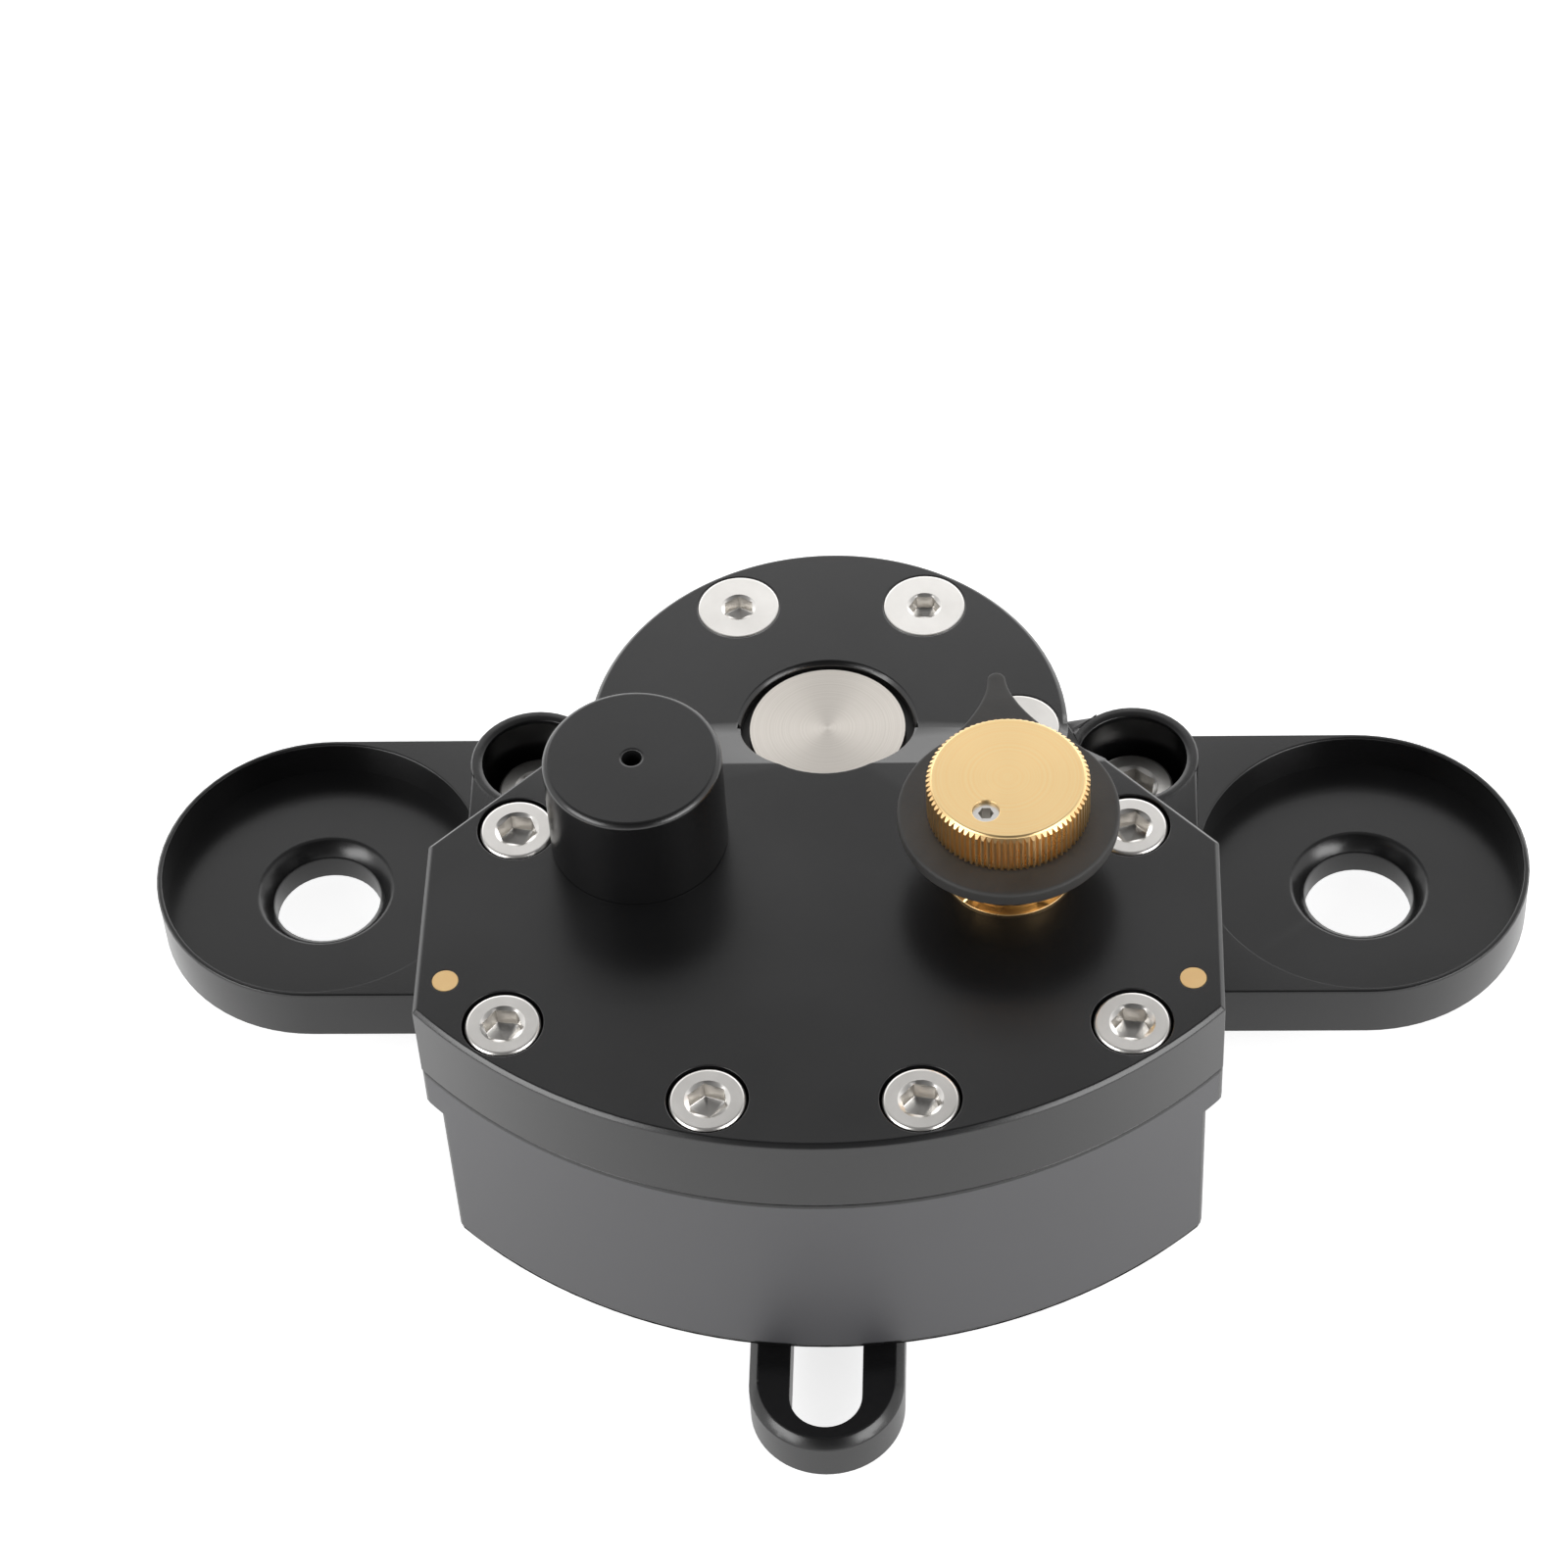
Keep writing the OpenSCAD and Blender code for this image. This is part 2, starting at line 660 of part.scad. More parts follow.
module cover_seal() {
    inset = seal_gap + seat_clearance;
    color(rubber) in_damper() difference() {
        chamber_plan(seal_gap + seal_w - seat_clearance, -seal_depth, 0);
        chamber_plan(inset, -seal_depth - past, past);
    }
}

module shaft() {
    groove_z = arm_bottom_z - ring_t;
    color(steel) in_damper() difference() {
        round_bar(shaft_r, shaft_bottom_z, cover_rear_t);
        round_ring(shaft_r - ring_groove, shaft_r + past, groove_z, arm_bottom_z);
        translate([-key_w / 2, -shaft_r - past, key_z]) cube([key_w, key_w / 2 + past, key_l]);
    }
}

module vane() {
    color(bronze) in_damper() difference() {
        union() {
            round_bar(vane_hub_r, vane_bottom_z, vane_top_z);
            intersection() {
                round_bar(chamber_r - vane_gap, vane_bottom_z, vane_top_z);
                chamber_wedge(vane_half_angle, 0, vane_bottom_z, vane_top_z);
            }
        }
        round_bar(shaft_r, vane_bottom_z - past, vane_top_z + past);
        translate([-key_w / 2, -shaft_r - key_w / 2, key_z]) cube([key_w, key_w, key_l]);
        translate([-vane_seal_w / 2, -far, vane_bottom_z - past])
            cube([vane_seal_w, far - vane_tip_r + vane_seal_depth, vane_h + 2 * past]);
    }
}

module vane_key() {
    color(steel) in_damper() translate([-key_w / 2, -shaft_r - key_w / 2, key_z]) cube([key_w, key_w, key_l]);
}

module vane_seal() {
    color(rubber) in_damper() intersection() {
        round_bar(chamber_r - vane_gap / 2, vane_bottom_z, vane_top_z);
        translate([-vane_seal_w / 2, -far, vane_bottom_z])
            cube([vane_seal_w, far - vane_tip_r + vane_seal_depth, vane_h]);
    }
}

module upper_bush() {
    color(bronze) in_damper() round_ring(shaft_r + running_clearance, bush_r - seat_clearance, 0, bush_l);
}

module lower_bush() {
    color(bronze) in_damper() round_ring(shaft_r + running_clearance, bush_r - seat_clearance,
        chamber_floor_z - bush_l, chamber_floor_z);
}

module upper_shaft_seal() {
    color(rubber) in_damper() round_ring(shaft_r + running_clearance, bush_r - seat_clearance,
        bush_l, bush_l + shaft_seal_l);
}

module lower_shaft_seal() {
    color(rubber) in_damper() round_ring(shaft_r + running_clearance, bush_r - seat_clearance,
        chamber_floor_z - bush_l - shaft_seal_l, chamber_floor_z - bush_l);
}

module link_arm() {
    tip_y = -(arm_reach - arm_w / 2);
    slot_far_y = -(arm_reach - slot_end_wall - slot_w / 2);
    slot_near_y = slot_far_y + slot_l - slot_w;
    color(black) in_damper() difference() {
        union() {
            round_bar(arm_hub_r, arm_bottom_z, arm_top_z);
            translate([0, tip_y, 0]) round_bar(arm_w / 2, arm_bottom_z, arm_top_z);
            translate([-arm_w / 2, tip_y, arm_bottom_z]) cube([arm_w, -tip_y, arm_t]);
            translate([-clamp_lug_w / 2, 0, arm_bottom_z]) cube([clamp_lug_w, clamp_lug_reach, arm_t]);
        }
        round_bar(shaft_r, arm_bottom_z - past, arm_top_z + past);
        for (y = [slot_far_y, slot_near_y]) translate([0, y, 0])
            round_bar(slot_w / 2, arm_bottom_z - past, arm_top_z + past);
        translate([-slot_w / 2, slot_far_y, arm_bottom_z - past])
            cube([slot_w, slot_near_y - slot_far_y, arm_t + 2 * past]);
        translate([-clamp_slit / 2, 0, arm_bottom_z - past]) cube([clamp_slit, far, arm_t + 2 * past]);
        clamp_screw_place() {
            round_bar(clamp_screw_d / 2 + seat_clearance, -far, far);
            round_bar(clamp_head_d / 2 + screw_gap, clamp_lug_w / 2 - clamp_head_sink, far);
        }
        arm_end_chamfer(tip_y);
    }
}

// Chamfer round the visible tip of the arm
module arm_end_chamfer(tip_y) {
    translate([0, tip_y, 0]) intersection() {
        round_chamfer(arm_w / 2, arm_top_z, edge_chamfer * 2);
        translate([-far / 2, -far, arm_bottom_z - far]) cube([far, far, 2 * far]);
    }
    for (side = [0, 1]) mirror([side, 0, 0])
        straight_chamfer([arm_w / 2, tip_y], [arm_w / 2, -arm_hub_r], arm_top_z, edge_chamfer * 2);
}

// Frame of the clamp screw, with its axis along +X
module clamp_screw_place() {
    translate([0, clamp_screw_y, arm_bottom_z + arm_t / 2]) rotate([0, 90, 0]) children();
}

module arm_clamp_screw() {
    seat = clamp_lug_w / 2 - clamp_head_sink;
    color(steel) in_damper() clamp_screw_place() translate([0, 0, seat])
        cap_screw(clamp_screw_d, clamp_head_d, clamp_head_h, clamp_lug_w - clamp_head_sink, clamp_socket);
}

module retaining_ring() {
    groove_z = arm_bottom_z - ring_t;
    color(steel) in_damper() difference() {
        round_ring(shaft_r - ring_groove, ring_outer_r, groove_z, arm_bottom_z);
        translate([-ring_gap_w / 2, 0, groove_z - past]) cube([ring_gap_w, far, ring_t + 2 * past]);
    }
}

module compensator_cap() {
    color(black) in_damper() translate([-cap_x, -cap_y, 0]) difference() {
        union() {
            round_bar(cap_r, cover_front_t, cap_top_z);
            round_bar(cap_spigot_r, cap_bottom_z, cover_front_t + past);
        }
        round_bar(cap_inner_r - cap_shoulder_gap, cap_bottom_z - past, cap_bore_top_z);
        round_bar(cap_inner_r, cover_front_t, cap_bore_top_z);
        round_bar(cap_vent_d / 2, cap_bottom_z, far);
        round_chamfer(cap_r, cap_top_z, edge_chamfer);
        round_chamfer_in(cap_vent_d / 2, cap_top_z, edge_chamfer / 2);
    }
}

module compensator_piston() {
    groove_z = piston_z + (piston_l - piston_groove_w) / 2;
    color(bronze) in_damper() translate([-cap_x, -cap_y, 0]) difference() {
        round_bar(piston_r, piston_z, piston_z + piston_l);
        round_ring(piston_r - piston_groove_depth, piston_r + past, groove_z, groove_z + piston_groove_w);
    }
}

module piston_seal() {
    groove_z = piston_z + (piston_l - piston_groove_w) / 2;
    color(rubber) in_damper() translate([-cap_x, -cap_y, 0])
        round_ring(piston_r - piston_groove_depth, piston_r, groove_z, groove_z + piston_groove_w);
}

// Points round one ring of the spring's wire
function spring_ring(t, length) =
    let (turn = 360 * spring_turns * t, z = spring_wire_d / 2 + t * (length - spring_wire_d))
    [for (k = [0 : spring_sides - 1])
        let (a = 360 * k / spring_sides, r = spring_r + spring_wire_d / 2 * cos(a))
        [r * cos(turn), r * sin(turn), z + spring_wire_d / 2 * sin(a)]];

module compensator_spring() {
    length = cap_bore_top_z - spring_bottom_z;
    rings = ceil(spring_turns * spring_rings_per_turn);
    points = [for (i = [0 : rings]) each spring_ring(i / rings, length)];
    last = rings * spring_sides;
    sides = [for (i = [0 : rings - 1], k = [0 : spring_sides - 1])
        let (a = i * spring_sides + k, b = i * spring_sides + (k + 1) % spring_sides)
        each [[a, a + spring_sides, b], [b, a + spring_sides, b + spring_sides]]];
    ends = [for (k = [1 : spring_sides - 2]) each [[0, k, k + 1], [last, last + k + 1, last + k]]];
    gap = (length - spring_wire_d) / spring_turns - spring_wire_d;
    echo(spring_least_gap = gap);
    color(steel) in_damper() translate([-cap_x, -cap_y, spring_bottom_z])
        polyhedron(points = points, faces = concat(sides, ends));
}

module adjuster_base() {
    bottom_z = cover_front_t - base_spigot;
    color(brass) in_damper() translate([knob_x, -knob_y, 0]) difference() {
        union() {
            round_bar(base_d / 2, cover_front_t, base_top_z - base_neck_h);
            round_bar(base_neck_r, base_top_z - base_neck_h - past, base_top_z);
            round_bar(base_spigot_d / 2, bottom_z, cover_front_t + past);
        }
        round_bar(needle_d / 2 + needle_clearance, bottom_z - past, base_top_z);
        round_bar(spindle_r + running_clearance, base_top_z - spindle_l - pointer_gap, far);
        round_ring(base_seal_r - base_seal_w, base_seal_r,
            cover_front_t - past, cover_front_t + base_seal_depth);
        round_ring(needle_d / 2, needle_d / 2 + needle_seal_w, needle_seal_z, needle_seal_z + needle_seal_h);
    }
}

module base_seal() {
    color(rubber) in_damper() translate([knob_x, -knob_y, 0])
        round_ring(base_seal_r - base_seal_w + seat_clearance, base_seal_r - seat_clearance,
            cover_front_t, cover_front_t + base_seal_depth);
}

// Frame of the knob at rest, turned so that +Y runs along the pointer
module knob_place() {
    translate([knob_x, -knob_y, 0]) rotate([0, 0, pointer_angle]) children();
}

module pointer_ring() {
    ring_r = pointer_ring_d / 2;
    color(black) in_damper() knob_place() difference() {
        union() {
            round_bar(ring_r, pointer_z, knob_z);
            translate([0, 0, pointer_z]) linear_extrude(pointer_ring_t)
                polygon([[-pointer_w / 2, 0], [pointer_w / 2, 0], [pointer_w / 2, ring_r - pointer_root],
                    [0, pointer_reach], [-pointer_w / 2, ring_r - pointer_root]]);
        }
        round_bar(spindle_r, pointer_z - past, knob_z + past);
        rotate([0, 0, -pointer_angle]) translate([-set_screw_x, -set_screw_y, 0])
            round_bar(set_screw_d / 2, knob_top_z - set_screw_l, far);
    }
}

module adjuster_knob() {
    spindle_z = base_top_z - spindle_l;
    color(brass) in_damper() translate([knob_x, -knob_y, 0]) difference() {
        union() {
            round_bar(knob_d / 2, knob_z, knob_top_z);
            round_bar(spindle_r, spindle_z, knob_z + past);
        }
        round_bar(drive_r + running_clearance, spindle_z - past, spindle_z + drive_l + past);
        translate([-set_screw_x, -set_screw_y, 0]) round_bar(set_screw_d / 2, knob_z - past, far);
        round_chamfer(knob_d / 2, knob_top_z, knob_edge);
    }
}

module knob_set_screw() {
    bottom_z = knob_top_z - set_screw_l;
    color(steel) in_damper() translate([knob_x - set_screw_x, -knob_y - set_screw_y, 0]) difference() {
        round_bar(set_screw_d / 2 - seat_clearance, bottom_z, knob_top_z - set_screw_sink);
        hex_socket(set_socket, set_screw_l / 3, knob_top_z - set_screw_sink);
    }
}

module needle_valve() {
    color(steel) in_damper() translate([knob_x, -knob_y, 0]) {
        translate([0, 0, needle_tip_z])
            cylinder(r1 = needle_tip_r, r2 = port_d / 2 - screw_gap, h = needle_cone_l);
        round_bar(needle_d / 2, needle_body_z, needle_shoulder_z);
        round_bar(port_d / 2 - screw_gap, needle_tip_z + needle_cone_l, needle_body_z);
        round_bar(drive_r, needle_shoulder_z - past, needle_shoulder_z + drive_l);
    }
}

module needle_seal() {
    color(rubber) in_damper() translate([knob_x, -knob_y, 0]) round_ring(needle_d / 2 + needle_clearance,
        needle_d / 2 + needle_seal_w - seat_clearance, needle_seal_z, needle_seal_z + needle_seal_h);
}

bracket();
bracket_screws();
housing();
top_cover();
cover_screws();
mounting_screws();
dowel_pins();
cover_seal();
shaft();
vane();
vane_key();
vane_seal();
upper_bush();
lower_bush();
upper_shaft_seal();
lower_shaft_seal();
link_arm();
arm_clamp_screw();
retaining_ring();
compensator_cap();
compensator_piston();
piston_seal();
compensator_spring();
adjuster_base();
base_seal();
pointer_ring();
adjuster_knob();
knob_set_screw();
needle_valve();
needle_seal();
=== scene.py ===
# %% [markdown]
# # A rotary steering damper, dressed for the camera
#
# The damper is a machined aluminium box on a bracket. A shaft with a vane turns inside it, oil
# is squeezed through a needle valve, and a knob sets how hard that is. The solids were made in
# a CAD program and packed into bodies that move. This lesson loads them as a fixed frame and
# gives every piece its finish. What CAD leaves plain, such as knurls, threads and the soft
# breaks of the edges, is built here as real mesh.

# %% Load the frame
import math

import bmesh
import bpy
from mathutils import Matrix, Vector


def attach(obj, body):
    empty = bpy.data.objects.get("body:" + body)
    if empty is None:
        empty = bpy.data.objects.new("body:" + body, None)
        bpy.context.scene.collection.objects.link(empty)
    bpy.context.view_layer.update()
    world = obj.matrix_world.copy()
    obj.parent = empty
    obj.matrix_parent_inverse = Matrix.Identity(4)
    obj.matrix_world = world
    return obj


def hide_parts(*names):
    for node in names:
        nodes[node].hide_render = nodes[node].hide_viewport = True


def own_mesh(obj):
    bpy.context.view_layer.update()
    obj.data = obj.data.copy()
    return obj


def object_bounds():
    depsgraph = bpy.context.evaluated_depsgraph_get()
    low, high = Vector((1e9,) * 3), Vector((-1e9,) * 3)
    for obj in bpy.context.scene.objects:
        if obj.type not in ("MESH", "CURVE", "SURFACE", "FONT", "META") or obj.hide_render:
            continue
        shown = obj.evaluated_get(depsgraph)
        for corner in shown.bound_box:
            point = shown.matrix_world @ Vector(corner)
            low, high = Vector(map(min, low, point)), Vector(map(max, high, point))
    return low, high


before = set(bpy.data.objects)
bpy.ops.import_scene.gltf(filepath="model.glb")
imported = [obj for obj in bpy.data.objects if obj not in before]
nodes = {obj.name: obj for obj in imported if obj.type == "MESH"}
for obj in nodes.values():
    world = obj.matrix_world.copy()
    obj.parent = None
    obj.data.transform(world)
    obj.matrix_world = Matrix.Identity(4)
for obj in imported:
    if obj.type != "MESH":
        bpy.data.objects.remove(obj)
cad_low, cad_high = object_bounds()
scene = bpy.context.scene
print("nodes loaded:", len(nodes))

# %% [markdown]
# ## The damper's own frame
#
# The CAD places everything on the damper from the point where the shaft crosses the parting
# plane of lid and case. The same point is repeated here, so that a place can be written in
# millimetres on the damper and turned into metres in the shared frame by one matrix.

# %% Place of the damper
MM = 0.001
SHAFT_FOOT = Vector((0.0, -5.4, 31.8))
DAMPER = Matrix.Scale(MM, 4) @ Matrix.Translation(SHAFT_FOOT)
COVER_FRONT, COVER_REAR = 10.8, 7.1


def on_damper(x, y, z):
    """A place on the damper, given in millimetres, in the shared frame in metres."""
    return DAMPER @ Vector((x, y, z))


def placed(name, data):
    """A new object with that data, linked to the scene."""
    item = bpy.data.objects.new(name, data)
    scene.collection.objects.link(item)
    return item


print("parting plane at", round(on_damper(0, 0, 0).z, 4))

# %% [markdown]
# ## The camera
#
# The photograph was taken from in front and above with a long lens, turned a little to the
# right and dipped to one side. The place and the three directions below were fitted to the
# screws and bores that can be told apart in the picture. A camera looks along its own -Z, so
# the columns of its matrix are right, up and backwards.

# %% Camera
CAMERA_PLACE = Vector((24.1, -365.9, 453.0)) * MM
CAMERA_RIGHT = Vector((0.99857, 0.02964, -0.04448))
CAMERA_UP = Vector((0.00622, 0.76211, 0.64741))
LENS, SENSOR = 109.0, 36.0
CLIP_NEAR, CLIP_FAR = 0.01, 20

camera = placed("camera", bpy.data.cameras.new("camera"))
camera.data.lens, camera.data.sensor_width = LENS, SENSOR
camera.data.clip_start, camera.data.clip_end = CLIP_NEAR, CLIP_FAR
columns = Matrix((CAMERA_RIGHT, CAMERA_UP, CAMERA_RIGHT.cross(CAMERA_UP))).transposed()
camera.matrix_world = Matrix.Translation(CAMERA_PLACE) @ columns.to_4x4()
scene.camera = camera
scene.view_settings.view_transform = "Standard"
print("camera looks along", [round(c, 3) for c in -columns.col[2]])

# %% [markdown]
# ## Building materials from nodes
#
# A finish is a small network: some noise decides where the surface is a little rougher or
# paler, and a bump gives it a grain that catches light. The helpers below keep each recipe
# short. All patterns read Object coordinates, so they stay fixed to the metal in any view.

# %% Node helpers
RAMP_LOW, RAMP_HIGH = 0.3, 0.7


def new_finish(name):
    """An empty material with a Principled shader: (material, tree, shader)."""
    finish = bpy.data.materials.new(name)
    finish.use_nodes = True
    tree = finish.node_tree
    return finish, tree, tree.nodes["Principled BSDF"]


def add(tree, kind, **settings):
    """A node of that kind with its settings made."""
    node = tree.nodes.new(kind)
    for key, value in settings.items():
        setattr(node, key, value)
    return node


def maths(tree, operation, *values):
    """The result of a Math node whose inputs are numbers or the outputs of other nodes."""
    node = add(tree, "ShaderNodeMath", operation=operation)
    for socket, value in zip(node.inputs, values):
        if isinstance(value, (int, float)):
            socket.default_value = value
        else:
            tree.links.new(value, socket)
    return node.outputs["Value"]


def noise(tree, vector, scale, detail):
    """Noise over the surface, as its first output, a factor."""
    node = add(tree, "ShaderNodeTexNoise")
    node.inputs["Scale"].default_value = scale
    node.inputs["Detail"].default_value = detail
    tree.links.new(vector, node.inputs["Vector"])
    return node.outputs[0]


def spread(tree, value, low, high):
    """A value from 0 to 1, mapped to lie between low and high."""
    node = add(tree, "ShaderNodeMapRange")
    node.inputs["To Min"].default_value, node.inputs["To Max"].default_value = low, high
    tree.links.new(value, node.inputs["Value"])
    return node.outputs["Result"]


def smooth_step(tree, value, start, stop, first, last):
    """A level that goes softly from first to last while the value goes from start to stop."""
    node = add(tree, "ShaderNodeMapRange", interpolation_type="SMOOTHSTEP")
    node.inputs["From Min"].default_value, node.inputs["From Max"].default_value = start, stop
    node.inputs["To Min"].default_value, node.inputs["To Max"].default_value = first, last
    tree.links.new(value, node.inputs["Value"])
    return node.outputs["Result"]


def shade(tree, value, dark, light):
    """A colour between dark and light, chosen by a value."""
    node = add(tree, "ShaderNodeValToRGB")
    low, high = node.color_ramp.elements
    low.color, high.color = (*dark, 1), (*light, 1)
    low.position, high.position = RAMP_LOW, RAMP_HIGH
    tree.links.new(value, node.inputs["Fac"])
    return node.outputs["Color"]


def bump(tree, shader, height, distance, strength):
    """Lets a height field tilt the shader's normal."""
    node = add(tree, "ShaderNodeBump")
    node.inputs["Distance"].default_value = distance
    node.inputs["Strength"].default_value = strength
    tree.links.new(height, node.inputs["Height"])
    tree.links.new(node.outputs["Normal"], shader.inputs["Normal"])


def object_place(tree, centre=None):
    """Object coordinates, measured from a centre where one is given."""
    place = add(tree, "ShaderNodeTexCoord").outputs["Object"]
    if centre is None:
        return place
    mapping = add(tree, "ShaderNodeMapping", vector_type="TEXTURE")
    mapping.inputs["Location"].default_value = centre
    tree.links.new(place, mapping.inputs["Vector"])
    return mapping.outputs["Vector"]


def clouded(name, dark, light, rough, rough_span, clouds, grain, relief):
    """A finish that drifts in clouds and has a fine grain: (material, shader).

    Clouds and grain are the scale and detail of a noise, relief the bump's height and strength.
    """
    finish, tree, shader = new_finish(name)
    place = object_place(tree)
    drift = noise(tree, place, *clouds)
    roughness = spread(tree, drift, rough - rough_span, rough + rough_span)
    tree.links.new(shade(tree, drift, dark, light), shader.inputs["Base Color"])
    tree.links.new(roughness, shader.inputs["Roughness"])
    bump(tree, shader, noise(tree, place, *grain), *relief)
    return finish, shader


# %% [markdown]
# ## Black anodised aluminium
#
# The bracket, cover, cap and arm are anodised: a dyed oxide skin on aluminium, satin and
# slightly deeper than paint. It could be plain black plastic with gloss, but the real skin
# mirrors more light than plastic, so the index of refraction is raised. Fine grain from the
# blasting before the bath gives the satin look, and the dye is never quite even.

# %% Anodised finish
BLACK_DYE = (0.006, 0.006, 0.0062), (0.010, 0.010, 0.0105)
HOUSING_DYE = (0.034, 0.034, 0.038), (0.044, 0.044, 0.049)


def anodised(name, dark, light, rough, refraction):
    """A dyed oxide skin."""
    finish, shader = clouded(name, dark, light, rough, rough_span=0.05, clouds=(45, 4),
                             grain=(5200, 2), relief=(0.00002, 0.25))
    shader.inputs["IOR"].default_value = refraction
    return finish


black_anodise = anodised("black_anodise", *BLACK_DYE, rough=0.25, refraction=1.62)
housing_anodise = anodised("housing_anodise", *HOUSING_DYE, rough=0.52, refraction=1.9)
print("finishes:", black_anodise.name, housing_anodise.name)

# %% [markdown]
# ## Turned metal
#
# The shaft's end and the knob's top come off a lathe, which leaves fine rings. Light then
# gathers in a bright cone across the face. Drawing that cone would be painting; it comes by
# itself from an anisotropic shader that spreads light across the grooves, so its tangent points
# away from the axis. Rings of changing height, read from the distance to the axis, give the
# grooves. Screws and pins are plain bright metal with a grain.

# %% Turned and plain metal
RING_DETAIL, RING_ROUGH_SPAN, RING_RELIEF = 4, 0.03, (0.00001, 0.1)
KNOB_AT, KNOB_TOP = (21.0, -23.6), 25.8
SHAFT_STEEL = (0.64, 0.60, 0.55), (0.70, 0.66, 0.61)
SCREW_STEEL = (0.74, 0.72, 0.69), (0.86, 0.84, 0.81)
KNOB_BRASS = (1.0, 0.70, 0.34), (1.0, 0.74, 0.38)
BASE_BRASS = (1.0, 0.65, 0.30), (1.0, 0.70, 0.35)
BRONZE = (0.36, 0.22, 0.10), (0.50, 0.33, 0.17)


def turned(name, centre, dark, light, rough, ring_pitch, anisotropy):
    """A metal with lathe rings round an upright axis through a centre."""
    finish, tree, shader = new_finish(name)
    flat = add(tree, "ShaderNodeVectorMath", operation="MULTIPLY")
    flat.inputs[1].default_value = (1, 1, 0)
    tree.links.new(object_place(tree, centre), flat.inputs[0])
    distance = add(tree, "ShaderNodeVectorMath", operation="LENGTH")
    tree.links.new(flat.outputs["Vector"], distance.inputs[0])
    rings = add(tree, "ShaderNodeTexNoise", noise_dimensions="1D")
    rings.inputs["Scale"].default_value = 1.0 / ring_pitch
    rings.inputs["Detail"].default_value = RING_DETAIL
    tree.links.new(distance.outputs["Value"], rings.inputs["W"])
    height = rings.outputs[0]
    roughness = spread(tree, height, rough - RING_ROUGH_SPAN, rough + RING_ROUGH_SPAN)
    tree.links.new(shade(tree, height, dark, light), shader.inputs["Base Color"])
    tree.links.new(roughness, shader.inputs["Roughness"])
    shader.inputs["Metallic"].default_value = 1.0
    shader.inputs["Anisotropic"].default_value = anisotropy
    outward = add(tree, "ShaderNodeVectorMath", operation="NORMALIZE")
    tree.links.new(flat.outputs["Vector"], outward.inputs[0])
    tree.links.new(outward.outputs["Vector"], shader.inputs["Tangent"])
    bump(tree, shader, height, *RING_RELIEF)
    return finish


def plain_metal(name, dark, light, rough):
    """A bright metal with faint clouds and a fine grain."""
    finish, shader = clouded(name, dark, light, rough, rough_span=0.05, clouds=(160, 4),
                             grain=(4000, 2), relief=(0.00001, 0.2))
    shader.inputs["Metallic"].default_value = 1.0
    return finish


shaft_steel = turned("shaft_steel", on_damper(0, 0, COVER_REAR), *SHAFT_STEEL,
                     rough=0.36, ring_pitch=0.0002, anisotropy=0.85)
knob_brass = turned("knob_brass", on_damper(*KNOB_AT, KNOB_TOP), *KNOB_BRASS,
                    rough=0.32, ring_pitch=0.0003, anisotropy=0.6)
base_brass = plain_metal("base_brass", *BASE_BRASS, rough=0.28)
screw_steel = plain_metal("screw_steel", *SCREW_STEEL, rough=0.30)
bronze = plain_metal("bronze", *BRONZE, rough=0.35)
print("metals:", [m.name for m in (shaft_steel, knob_brass, base_brass, screw_steel, bronze)])

# %% [markdown]
# ## Rubber
#
# The pointer ring under the knob and the seals are moulded rubber: black, dull, with a dusty
# bloom. A rough dielectric with a coarse and a fine noise does it.

# %% Rubber finish
RING_RUBBER = (0.030, 0.029, 0.028), (0.046, 0.044, 0.042)
SEAL_RUBBER = (0.008, 0.008, 0.008), (0.014, 0.014, 0.014)


def moulded_rubber(name, dark, light, rough):
    """Dull rubber with a bloom."""
    finish, _ = clouded(name, dark, light, rough, rough_span=0.08, clouds=(220, 5),
                        grain=(2600, 3), relief=(0.00004, 0.3))
    return finish


ring_rubber = moulded_rubber("ring_rubber", *RING_RUBBER, rough=0.6)
seal_rubber = moulded_rubber("seal_rubber", *SEAL_RUBBER, rough=0.5)
print("rubbers:", ring_rubber.name, seal_rubber.name)

# %% [markdown]
# ## Every CAD node gets its finish
#
# A node whose solid is right as it is keeps its mesh, and only the material in its slot
# changes. The pieces that show most are rebuilt further down, with broken edges or from new
# mesh, and a copy of a node takes the node's finish along.

# %% Finishes of the CAD nodes
NODE_FINISH = {
    black_anodise: ["bracket", "top_cover", "link_arm", "compensator_cap"],
    housing_anodise: ["housing"],
    shaft_steel: ["shaft"],
    screw_steel: ["bracket_screws", "cover_screws", "mounting_screws", "arm_clamp_screw",
                  "retaining_ring", "knob_set_screw", "needle_valve", "vane_key",
                  "compensator_spring"],
    knob_brass: ["adjuster_knob"],
    base_brass: ["adjuster_base", "dowel_pins"],
    bronze: ["vane", "upper_bush", "lower_bush", "compensator_piston"],
    ring_rubber: ["pointer_ring"],
    seal_rubber: ["cover_seal", "vane_seal", "upper_shaft_seal", "lower_shaft_seal",
                  "piston_seal", "base_seal", "needle_seal"],
}
bare = set(nodes)
for finish, names in NODE_FINISH.items():
    bare -= set(names)
    for name in names:
        mesh = nodes[name].data
        mesh.materials.clear()
        mesh.materials.append(finish)
print("nodes without a finish:", sorted(bare))
